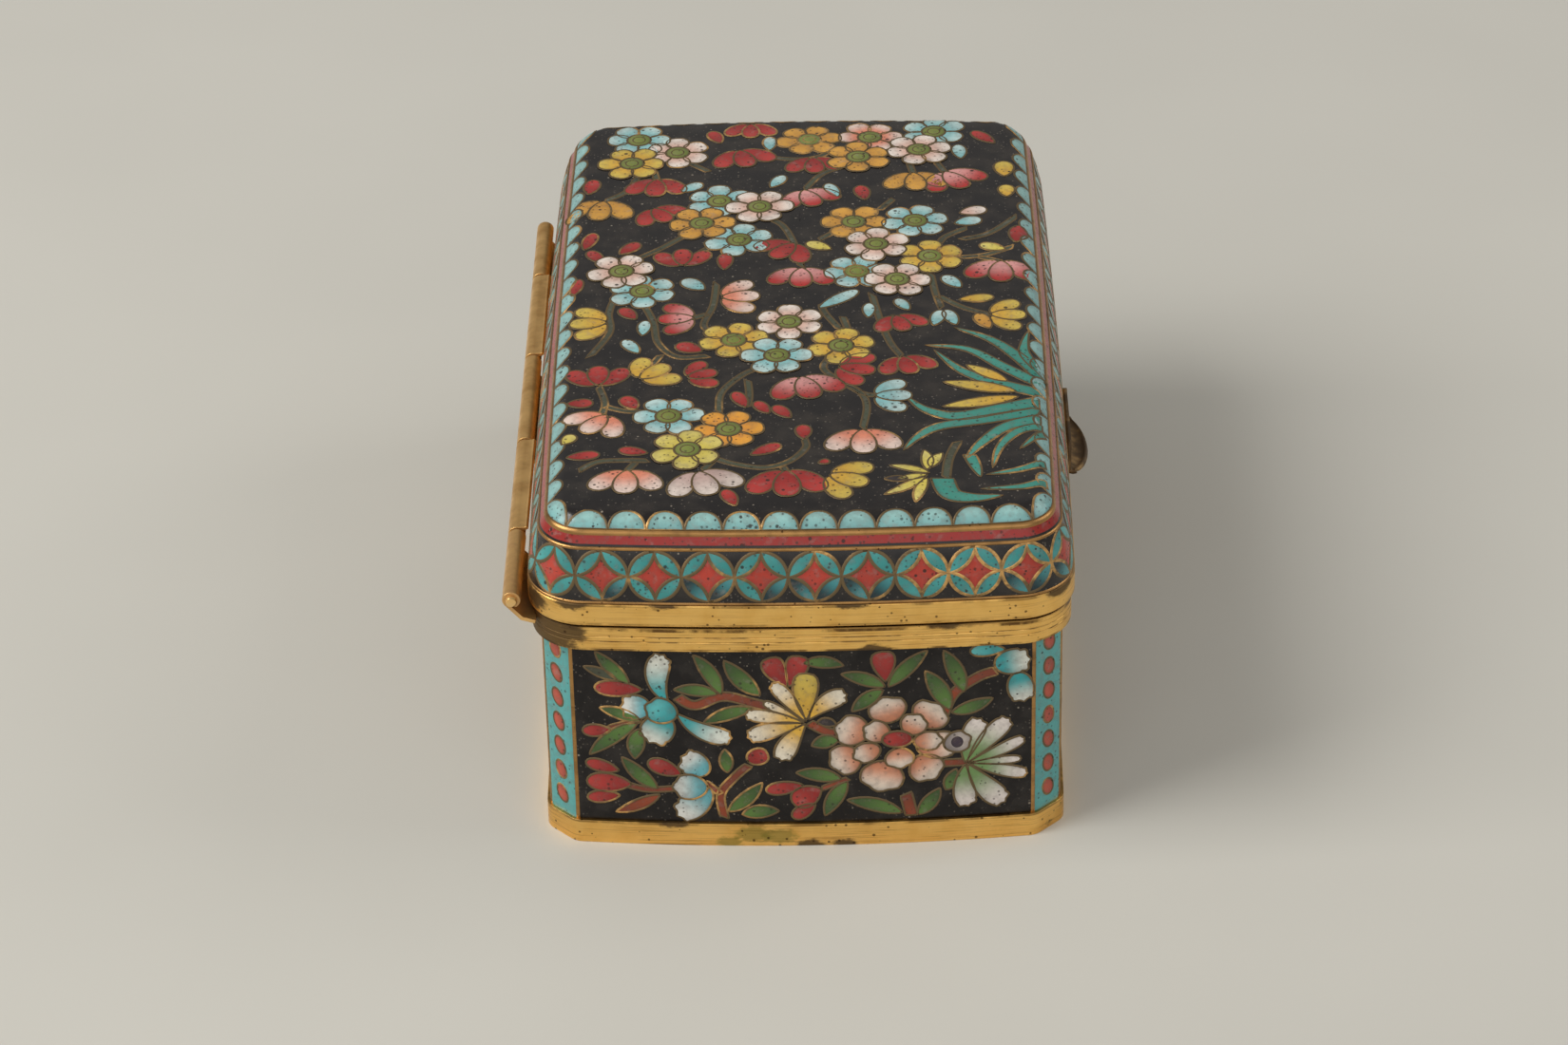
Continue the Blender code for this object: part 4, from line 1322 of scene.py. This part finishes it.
def lay_line(area, band, low, high, colour, start=0.0, end=math.inf):
    """A plain coloured strip between two heights of a band, all round or over a stretch."""
    end = min(end, band.length)
    inner = band.along[(band.along > start) & (band.along < end)]
    along = np.concatenate(((start,), inner, (end,)))
    places = np.vstack([np.column_stack((along, np.full(len(along), up))) for up in (low, high)])
    seam = np.where(places[:, :1] >= band.length, (band.length, 0.0), (0.0, 0.0))
    points = band.at(places - seam, np.full(len(places), CELL_HEIGHT))
    colours = np.tile(ENAMELS[colour][0], (len(places), 1))
    area.cells.add(points, quads(2, len(along)), colours, places * MM)


def border_wire(area, band, up, width):
    """A wide gilt wire all round at one height of a band."""
    path = np.column_stack((band.along, np.full(len(band.along), up)))
    area.wire(path, width, 0, BORDER_HEIGHT)


# Ovals of the canted corners: half width, half height and stray of their tilt in degrees
OVAL_HALVES = (0.72, 1.02)
OVAL_STRAY = 6


def lay_corner(area, height):
    """A row of red ovals up one canted corner."""
    pitch = height / (OVAL_COUNT + 0.25)
    for number in range(OVAL_COUNT):
        tilt = OVAL_TILT + chance.uniform(-OVAL_STRAY, OVAL_STRAY)
        oval = round_shape(0.0, pitch * (number + 0.75), *OVAL_HALVES, tilt)
        area.cell(oval, "corner_red", 1, wire=OVAL_WIRE_WIDTH)


# Building


def make_grounds(black_lid, black_panel):
    """The black enamel of the lid and of the four sides."""
    profile = coin_band_profile() + line_band_profile()[1:] + shoulder_profile()[1:]
    profile = [(LID_ENAMEL_FOOT, LID_RIM_TOP)] + profile
    rings = [level_ring(LID_PLAN, inset, height) for inset, height in profile]
    field = LID_PLAN.half_width - SIDE_BOW - SHOULDER_INSET
    for share in CROWN_RINGS:
        ring = level_ring(LID_PLAN, SHOULDER_INSET + field * share, SHOULDER_TOP)
        ring[:, 2] += crown_height(ring[:, 0], ring[:, 1])
        rings.append(ring)
    lid = joined("lid_ground", rings, black_lid, "lid", filled=(-1,))
    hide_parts("lid_enamel")
    sections = on_plan(
        BODY_PLAN, [(0.0, FOOT_TOP), (0.0, PANEL_TOP), (ENAMEL, PANEL_TOP), (ENAMEL, FOOT_TOP)]
    )
    panels = skinned(
        "panel_ground", sections, black_panel, "base",
        looped=True, bevel=PANEL_BEVEL,
    )
    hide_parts("base_enamel")


# Two lines scored round the rim of the tray
SCORED_LINES = (PANEL_TOP + 0.00105, PANEL_TOP + 0.0016)
SCORE_DEPTH = 0.00006
SCORE_HALF = 0.00007


def make_metal(tray_gilt, rim_gilt):
    """The gilt tray of the base and the gilt rim and shell of the lid."""
    foot = [
        (FOOT_RING_WIDTH, ENAMEL),
        (FOOT_RING_WIDTH, 0.0),
        (-FOOT_PROUD, 0.0),
        (-FOOT_PROUD, FOOT_TOP),
        (ENAMEL, FOOT_TOP),
        (ENAMEL, PANEL_TOP),
    ]
    rim = [(0.0, PANEL_TOP)]
    for up in SCORED_LINES:
        rim += [(0.0, up - SCORE_HALF), (SCORE_DEPTH, up), (0.0, up + SCORE_HALF)]
    rim.append((0.0, RIM_TOP))
    outside = WALL + LIP_CLEARANCE
    inside = outside + LIP_THICKNESS
    lip_top = RIM_TOP + LIP_HEIGHT
    lip = [(outside, RIM_TOP), (outside, lip_top), (inside, lip_top), (inside, PANEL_TOP)]
    back = [(METAL_BACK, PANEL_TOP), (METAL_BACK, METAL_BACK)]
    sections = on_plan(BODY_PLAN, foot) + on_plan(RIM_PLAN, rim)
    sections += on_plan(LID_PLAN, lip) + on_plan(BODY_PLAN, back)
    tray = skinned("gilt_tray", sections, tray_gilt, "base", bevel=TRAY_BEVEL)
    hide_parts("base_metal")
    profile = coin_band_profile(4)
    inner = [(inset + METAL_BACK, height) for inset, height in profile]
    inner.append((SHOULDER_INSET + METAL_BACK, LID_ENAMEL_HIGH[2] - METAL_BACK))
    outer = [(inset + ENAMEL, height) for inset, height in profile]
    outer.append((SHOULDER_INSET + ENAMEL, SHOULDER_TOP - ENAMEL))
    rim = [(0.0, LID_RIM_TOP), (0.0, LID_BOTTOM), (WALL, LID_BOTTOM), (WALL, LID_RIM_TOP)]
    sections = on_plan(LID_PLAN, outer[::-1] + rim + inner)
    shell = skinned("gilt_lid_rim", sections, rim_gilt, "lid", bevel=LID_RIM_BEVEL)
    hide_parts("lid_metal")


# Roundings inside the linings, the flat rings beside them and the foot of the underside plate
FLOOR_ROUNDING = 0.0008
CEILING_ROUNDING = 0.0006
FLAT_RING = 0.0012
PLATE_FOOT = 0.00012


def make_linings(turquoise):
    """The turquoise counter-enamel inside the base and the lid, and below the floor."""
    floor = METAL_BACK + LAYER_GAP + LINING
    top = PANEL_TOP - LAYER_GAP
    sections = [
        (METAL_BACK, METAL_BACK),
        (METAL_BACK, top),
        (WALL, top),
        (WALL, floor + FLOOR_ROUNDING),
        (WALL + FLOOR_ROUNDING, floor),
        (WALL + FLOOR_ROUNDING + FLAT_RING, floor),
    ]
    tray = skinned(
        "tray_lining", on_plan(BODY_PLAN, sections), turquoise, "base", bevel=LINING_BEVEL
    )
    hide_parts("base_lining")
    sections = on_plan(BODY_PLAN, [(FOOT_RING_WIDTH, ENAMEL), (FOOT_RING_WIDTH, PLATE_FOOT)])
    plate = skinned("underside_enamel", sections, turquoise, "base")
    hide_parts("base_underside")
    ceiling = LID_ENAMEL_HIGH[2] - WALL
    profile = coin_band_profile(5)[:-1]
    sides = []
    for back, rounding, height in (
        (WALL, CEILING_ROUNDING, ceiling),
        (METAL_BACK, 0.0, ceiling + LINING),
    ):
        side = [(inset + back, up) for inset, up in profile]
        side += [
            (COIN_BAND_INSET + back + rounding, COIN_BAND_TOP),
            (SHOULDER_INSET + back, height),
            (SHOULDER_INSET + back + FLAT_RING, height),
        ]
        sides.append(side)
    inner, outer = sides
    sections = on_plan(LID_PLAN, outer[::-1] + inner)
    lid = skinned("lid_inside", sections, turquoise, "lid", bevel=LID_LINING_BEVEL)
    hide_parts("lid_lining")


def strip_outline(path, thickness):
    """The outline of a sheet of metal that follows a path in X and Z."""
    path = np.array(path)
    normals = path_normals(path)
    return np.vstack((path + normals * thickness / 2, (path - normals * thickness / 2)[::-1]))


def pulled_along_y(name, outline, start, end, material, body, bevel):
    """A flat outline in X and Z with thickness along Y."""
    rows = [[(x, y, z) for x, z in outline] for y in (start, end)]
    return joined(name, rows, material, body, bevel=bevel)


AXIS_X, _, AXIS_Z = frame["joints"][0]["pos_m"]
KNUCKLE_RADIUS = 0.0009
SHEET = 0.0004
PIN_SHAFT = 0.00038
PIN_SIDES = 24
# Where the roll of a knuckle starts and ends, in degrees
BASE_ROLL = (222, -70)
LID_ROLL = (75, 335)


def make_hinge(worn, front, bright):
    """Rolled knuckles on the rims, and the pin with its hammered head."""
    radius = KNUCKLE_RADIUS - SHEET / 2
    for number in range(1, 6):
        low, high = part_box(f"knuckle_{number}")
        on_base = number % 2 == 1
        if on_base:
            body, ends = "base", BASE_ROLL
            face = -TRAY_HIGH[0] - SHEET / 2
            start = [(face + 0.0010, PANEL_TOP + 0.0018), (face - 0.0003, PANEL_TOP + 0.0022)]
        else:
            body, ends = "lid", LID_ROLL
            face = -LID_RIM_HIGH[0] - SHEET / 2
            start = [(face + 0.0001, LID_RIM_TOP - 0.0003), (face - 0.0001, AXIS_Z + radius)]
        turn = np.radians(np.linspace(*ends, 30))
        roll = [(AXIS_X + radius * math.cos(a), AXIS_Z + radius * math.sin(a)) for a in turn]
        outline = strip_outline(start + roll, SHEET)
        material = front if number == 1 else worn
        piece = pulled_along_y(
            f"hinge_knuckle_{number}", outline, low[1], high[1], material, body, KNUCKLE_BEVEL
        )
        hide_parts(f"knuckle_{number}")
    make_pin(bright)


def make_pin(bright):
    """The hinge pin, its front end hammered into a low uneven head."""
    head = (PIN_HIGH[2] - PIN_LOW[2]) / 2
    front = PIN_LOW[1]
    rings = []
    for radius, y in (
        (head * 0.35, front),
        (head * 0.8, front + 0.00006),
        (head, front + 0.00022),
        (head, front + 0.0005),
        (PIN_SHAFT, front + 0.00075),
        (PIN_SHAFT, PIN_HIGH[1] - 0.0001),
        (PIN_SHAFT * 0.7, PIN_HIGH[1]),
    ):
        ring = []
        for side in range(PIN_SIDES):
            angle = 2 * math.pi * side / PIN_SIDES
            dent = 1 + 0.06 * math.sin(3 * angle + 1.0) if radius > PIN_SHAFT else 1
            reach = min(radius * dent, head)
            ring.append((AXIS_X + reach * math.cos(angle), y, AXIS_Z + reach * math.sin(angle)))
        rings.append(ring)
    pin = joined("hammered_pin", rings, bright, "base")
    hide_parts("hinge_pin")


# The tongue: its sheet, how far it starts below the rim's top, how far below that the web
# ends and the curl begins, how deep and how far round it curls, and its least reach
TONGUE_SHEET = 0.00045
TONGUE_TOP_DROP = 0.0003
WEB_DROP = 0.0017
CURL_DROP = 0.0034
CURL_DEPTH = 0.0008
CURL_TURN = math.pi * 0.75
LEAST_REACH = 0.35


def make_tongue(material):
    """The curled half-round thumb tongue under the lid rim."""
    middle = (TONGUE_LOW[1] + TONGUE_HIGH[1]) / 2
    half = (TONGUE_HIGH[1] - TONGUE_LOW[1]) / 2 - TONGUE_SHEET / 2
    top = LID_RIM_TOP - TONGUE_TOP_DROP
    face_x = LID_RIM_HIGH[0] + TONGUE_SHEET / 2
    full_reach = TONGUE_HIGH[0] - TONGUE_SHEET / 2 - face_x
    rows = []
    for step in range(33):
        across = 1 - 2 * step / 32
        share = max(math.sqrt(1 - across**2), LEAST_REACH)
        y = middle + across * half
        row = [(face_x, y, top), (face_x, y, top - WEB_DROP)]
        for curl in range(13):
            angle = curl / 12 * CURL_TURN
            reach = full_reach * share * ((1 - math.cos(angle)) / (1 - math.cos(CURL_TURN)))
            lift = CURL_DEPTH * share * math.sin(angle)
            row.append((face_x + reach, y, top - CURL_DROP - lift))
        rows.append(row)
    tongue = joined("thumb_lift", rows, material, "lid", filled=(), closed=False)
    shell = tongue.modifiers.new("thickness", "SOLIDIFY")
    shell.thickness = TONGUE_SHEET
    shell.offset = 0.0
    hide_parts("thumb_tongue")


def make_lid_enamel(cell_enamel, wire_brass, gilt):
    """Cells and wires of the lid: the flowers, the scallops, the red line and the coins."""
    flowers, flower_wires = Parts(), Parts()
    lay_lid_top(Cloisons(on_lid_top, flowers, flower_wires))
    make_piece("lid_flowers", flowers, cell_enamel, "lid")
    make_piece("lid_flower_wires", flower_wires, wire_brass, "lid")

    cells, wires, borders = Parts(), Parts(), Parts()
    coin_band = Band(LID_PLAN, coin_band_profile())
    edge_band = Band(LID_PLAN, line_band_profile() + shoulder_profile()[1:])
    shoulder = Band(LID_PLAN, shoulder_profile())
    lay_coin_band(Cloisons(coin_band.at, cells, wires), coin_band)
    edge = Cloisons(edge_band.at, cells, borders)
    lay_line(edge, edge_band, RED_LINE_LOW, RED_LINE_HIGH, "line_red")
    border_wire(edge, edge_band, UPPER_WIRE_UP, UPPER_WIRE_WIDTH)
    lay_scallops(Cloisons(shoulder.at, cells, wires), shoulder)
    foot_line = Cloisons(coin_band.at, cells, borders)
    border_wire(foot_line, coin_band, FOOT_WIRE_WIDTH / 2, FOOT_WIRE_WIDTH)
    border_wire(foot_line, coin_band, coin_band.height + LOWER_WIRE_UP, LOWER_WIRE_WIDTH)
    make_piece("lid_band_cells", cells, cell_enamel, "lid")
    make_piece("lid_band_wires", wires, wire_brass, "lid")
    make_piece("lid_border_wires", borders, gilt, "lid")


# The flowers of the long sides are smaller than those of the ends, by this share
LONG_SIDE_SCALE = 0.84


def make_panel_enamel(cell_enamel, wire_brass, gilt):
    """Cells and wires of the four sides and the canted corners."""
    cells, wires, borders = Parts(), Parts(), Parts()
    wall = Band(BODY_PLAN, [(0.0, FOOT_TOP), (0.0, PANEL_TOP)])
    quarter = wall.length / 4
    height = wall.height

    def on_wall(places, lift):
        return wall.at(places - (0.0, FOOT_TOP / MM), lift)

    half = (BODY_PLAN.half_length - BODY_END_BOW - BODY_CANT) / MM / 2
    for side in range(4):
        if side % 2 == 0:
            layouts = [(1 - side, 1.0, side * quarter)]
        else:
            layouts = [(m, LONG_SIDE_SCALE, side * quarter - m * half) for m in (1, -1)]
        for layout in layouts:
            lay_panel(Cloisons(on_wall, cells, wires, *layout))
    end_half = (BODY_PLAN.half_width - SIDE_BOW - BODY_CANT) / MM
    cant = BODY_CANT * math.sqrt(2) / MM
    side_half = quarter - end_half - cant
    for corner in range(4):
        centre = corner * quarter + (end_half if corner % 2 == 0 else side_half) + cant / 2

        def on_cant(places, lift, centre=centre):
            return wall.at(places + (centre, 0.0), lift)

        edges = (centre - cant / 2, centre + cant / 2)
        lay_line(Cloisons(wall.at, cells, wires), wall, 0.0, height, "corner_blue", *edges)
        lay_corner(Cloisons(on_cant, cells, wires), height)
        bars = Cloisons(on_cant, cells, borders)
        for edge in (-cant / 2, cant / 2):
            line = np.array(((edge, 0.0), (edge, height / 2), (edge, height)))
            bars.wire(line, BAR_WIDTH, 0, BAR_HEIGHT)
    make_piece("panel_flowers", cells, cell_enamel, "base")
    make_piece("panel_wires", wires, wire_brass, "base")
    make_piece("panel_border_wires", borders, gilt, "base")


# Stage, light and camera

SENSOR_WIDTH = 36.0
PHOTO_WIDTH = 1650
FOCAL_PIXELS = 5200
ELEVATION = 32.0
YAW = 0.9
ROLL = -1.3
DISTANCE = 0.5058
TARGET = (-0.0019, -0.0147, 0.0200)


def make_camera():
    elevation = math.radians(ELEVATION)
    yaw = math.radians(YAW)
    roll = math.radians(ROLL)
    back = Vector(
        (
            math.sin(yaw) * math.cos(elevation),
            -math.cos(yaw) * math.cos(elevation),
            math.sin(elevation),
        )
    )
    level = (-back).cross(Vector((0.0, 0.0, 1.0))).normalized()
    upright = level.cross(-back)
    right = level * math.cos(roll) + upright * math.sin(roll)
    up = upright * math.cos(roll) - level * math.sin(roll)
    data = bpy.data.cameras.new("camera")
    data.lens = FOCAL_PIXELS / PHOTO_WIDTH * SENSOR_WIDTH
    data.sensor_width = SENSOR_WIDTH
    data.clip_start = 0.01
    camera = bpy.data.objects.new("camera", data)
    bpy.context.scene.collection.objects.link(camera)
    matrix = Matrix((right, up, back)).transposed().to_4x4()
    matrix.translation = Vector(TARGET) + back * DISTANCE
    camera.matrix_world = matrix
    bpy.context.scene.camera = camera


# Soft lights: name, place, size, power and colour
LIGHT_AIM = (0, 0, 0.02)
LIGHTS = (
    ("left_light", (-0.75, -0.25, 0.75), (0.6, 0.6), 8.9, (1.0, 0.98, 0.95)),
    ("right_light", (0.85, 0.1, 0.6), (0.6, 0.6), 2.4, (1.0, 0.97, 0.94)),
    ("front_light", (0.1, -1.4, 0.75), (2.0, 1.2), 6.1, (1.0, 0.98, 0.96)),
)
SURROUND_COLOUR = (0.80, 0.79, 0.76, 1.0)
SURROUND_STRENGTH = 0.37
FLOOR_HALF = 3.0


def soft_light(name, place, size, power, colour):
    data = bpy.data.lights.new(name, "AREA")
    data.shape = "RECTANGLE"
    data.size, data.size_y = size
    data.energy = power
    data.color = colour
    light = bpy.data.objects.new(name, data)
    bpy.context.scene.collection.objects.link(light)
    light.location = place
    way = Vector(LIGHT_AIM) - Vector(place)
    light.rotation_euler = way.to_track_quat("-Z", "Y").to_euler()


def make_stage():
    """A pale floor, a large soft light on each side and an even surround."""
    mesh = bpy.data.meshes.new("floor")
    corners = ((-1, -1), (1, -1), (1, 1), (-1, 1))
    points = [(x * FLOOR_HALF, y * FLOOR_HALF, 0) for x, y in corners]
    mesh.from_pydata(points, [], [(0, 1, 2, 3)])
    material, tree, shader = new_material("pale_paper")
    cloud = noise(tree, millimetres(tree), 0.02, 2.0)
    colour = mixed(tree, cloud, linear(196, 194, 186), linear(204, 202, 194))
    tree.links.new(colour, shader.inputs["Base Color"])
    shader.inputs["Roughness"].default_value = 0.9
    new_object("floor", mesh, material)
    for light in LIGHTS:
        soft_light(*light)
    world = bpy.data.worlds.new("studio")
    bpy.context.scene.world = world
    world.use_nodes = True
    background = world.node_tree.nodes["Background"]
    background.inputs["Color"].default_value = SURROUND_COLOUR
    background.inputs["Strength"].default_value = SURROUND_STRENGTH
    bpy.context.scene.view_settings.view_transform = "Standard"


# Stained places of the gilding: X, Y, Z and radius in millimetres
RIM_STAINS = (
    (-22.4, -43.4, 29.3, 2.4), (-13.4, -44.1, 29.4, 2.0), (-26.6, -41.0, 28.0, 2.6),
    (5.0, -44.2, 29.6, 2.4), (25.6, -41.8, 29.2, 2.8),
)
TRAY_STAINS = (
    (-26.2, -41.0, 25.0, 6.4), (-22.9, -43.4, 25.4, 2.6), (-13.2, -43.8, 2.9, 2.2),
    (0.4, -44.2, 0.0, 2.0), (3.9, -44.2, 0.1, 1.7), (-25.5, -42.0, 2.0, 1.8),
    (25.5, -42.0, 0.6, 2.0), (14.0, -44.0, 26.6, 2.4), (7.0, -43.9, 23.2, 2.2),
)
TRAY_CORROSION = (
    (-5.2, -44.2, 1.4, 2.4), (-2.6, -44.1, 1.2, 2.2), (-7.6, -44.1, 0.4, 1.8),
)
# Bright places of the cloison wires, partly gilding and partly painted glints: X, Y, Z and radius
# in millimetres
GILT_AND_GLINT_WIRES = (
    (16.0, -43.6, 32.4, 7.0), (23.0, -43.0, 32.6, 5.0),
)
# Dark lines of the gilding: height and half width in millimetres, how dark and how whole
TRAY_LINES = (
    (RIM_TOP / MM - 0.3, 0.26, 0.9, 0.0),
    (PANEL_TOP / MM + 1.05, 0.1, 0.8, 0.0),
    (PANEL_TOP / MM + 1.6, 0.1, 0.8, 0.0),
    (PANEL_TOP / MM + 0.1, 0.2, 0.8, 0.0),
    (FOOT_TOP / MM - 0.1, 0.2, 0.6, 0.0),
    (RIM_TOP / MM, 0.14, 0.75, 1.0),
)
RIM_LINES = (
    (LID_BOTTOM / MM + 0.25, 0.16, 0.5, 0.0),
    (LID_RIM_TOP / MM - 0.1, 0.25, 0.6, 0.0),
)
GOLDS = ((247, 200, 116), (235, 184, 98))
WORN_GOLDS = ((186, 142, 88), (136, 104, 68))


def build():
    groups = Effects(
        make_pinholes(), make_clouding(), make_scoring(), make_local_stain(), make_level_line()
    )
    lid_cells = make_cell_enamel("lid_flower_enamel", groups, 0.45, 0.75)
    panel_cells = make_cell_enamel("panel_flower_enamel", groups, 0.22, 0.4)
    black_lid = make_ground_enamel("black_lid_enamel", groups, (30, 27, 27), (50, 45, 41), 0.4)
    black_panel = make_ground_enamel(
        "black_panel_enamel", groups, (25, 22, 22), (46, 42, 40), 0.25
    )
    wire_brass = make_wire_brass("cloison_wire", groups, GILT_AND_GLINT_WIRES)
    tray_gilt = make_gilt(
        "tray_gilding", groups, GOLDS, 0.7, 0.3, TRAY_STAINS, TRAY_CORROSION, TRAY_LINES
    )
    rim_gilt = make_gilt("lid_rim_gilding", groups, GOLDS, 0.4, 0.3, RIM_STAINS, (), RIM_LINES)
    border_gilt = make_gilt("border_gilding", groups, WORN_GOLDS, 0.6, 1.6)
    worn = make_dark_brass("worn_hinge_brass", groups, 0.25, (176, 134, 78))
    front = make_dark_brass("front_knuckle_brass", groups, 0.2, (188, 146, 98))
    bright = make_dark_brass("hammered_brass", groups, 0.4, (240, 226, 188))
    # The tongue's dark brown is partly patina and partly painted shade in its pocket under the lid
    # rim
    dark = make_dark_brass("tongue_patina_and_shade_brass", groups, 0.0, (92, 74, 54))
    turquoise = make_lining_enamel("turquoise_lining", groups)
    make_camera()
    make_stage()
    make_grounds(black_lid, black_panel)
    make_metal(tray_gilt, rim_gilt)
    make_linings(turquoise)
    make_hinge(worn, front, bright)
    make_tongue(dark)
    make_lid_enamel(lid_cells, wire_brass, border_gilt)
    make_panel_enamel(panel_cells, wire_brass, border_gilt)


build()
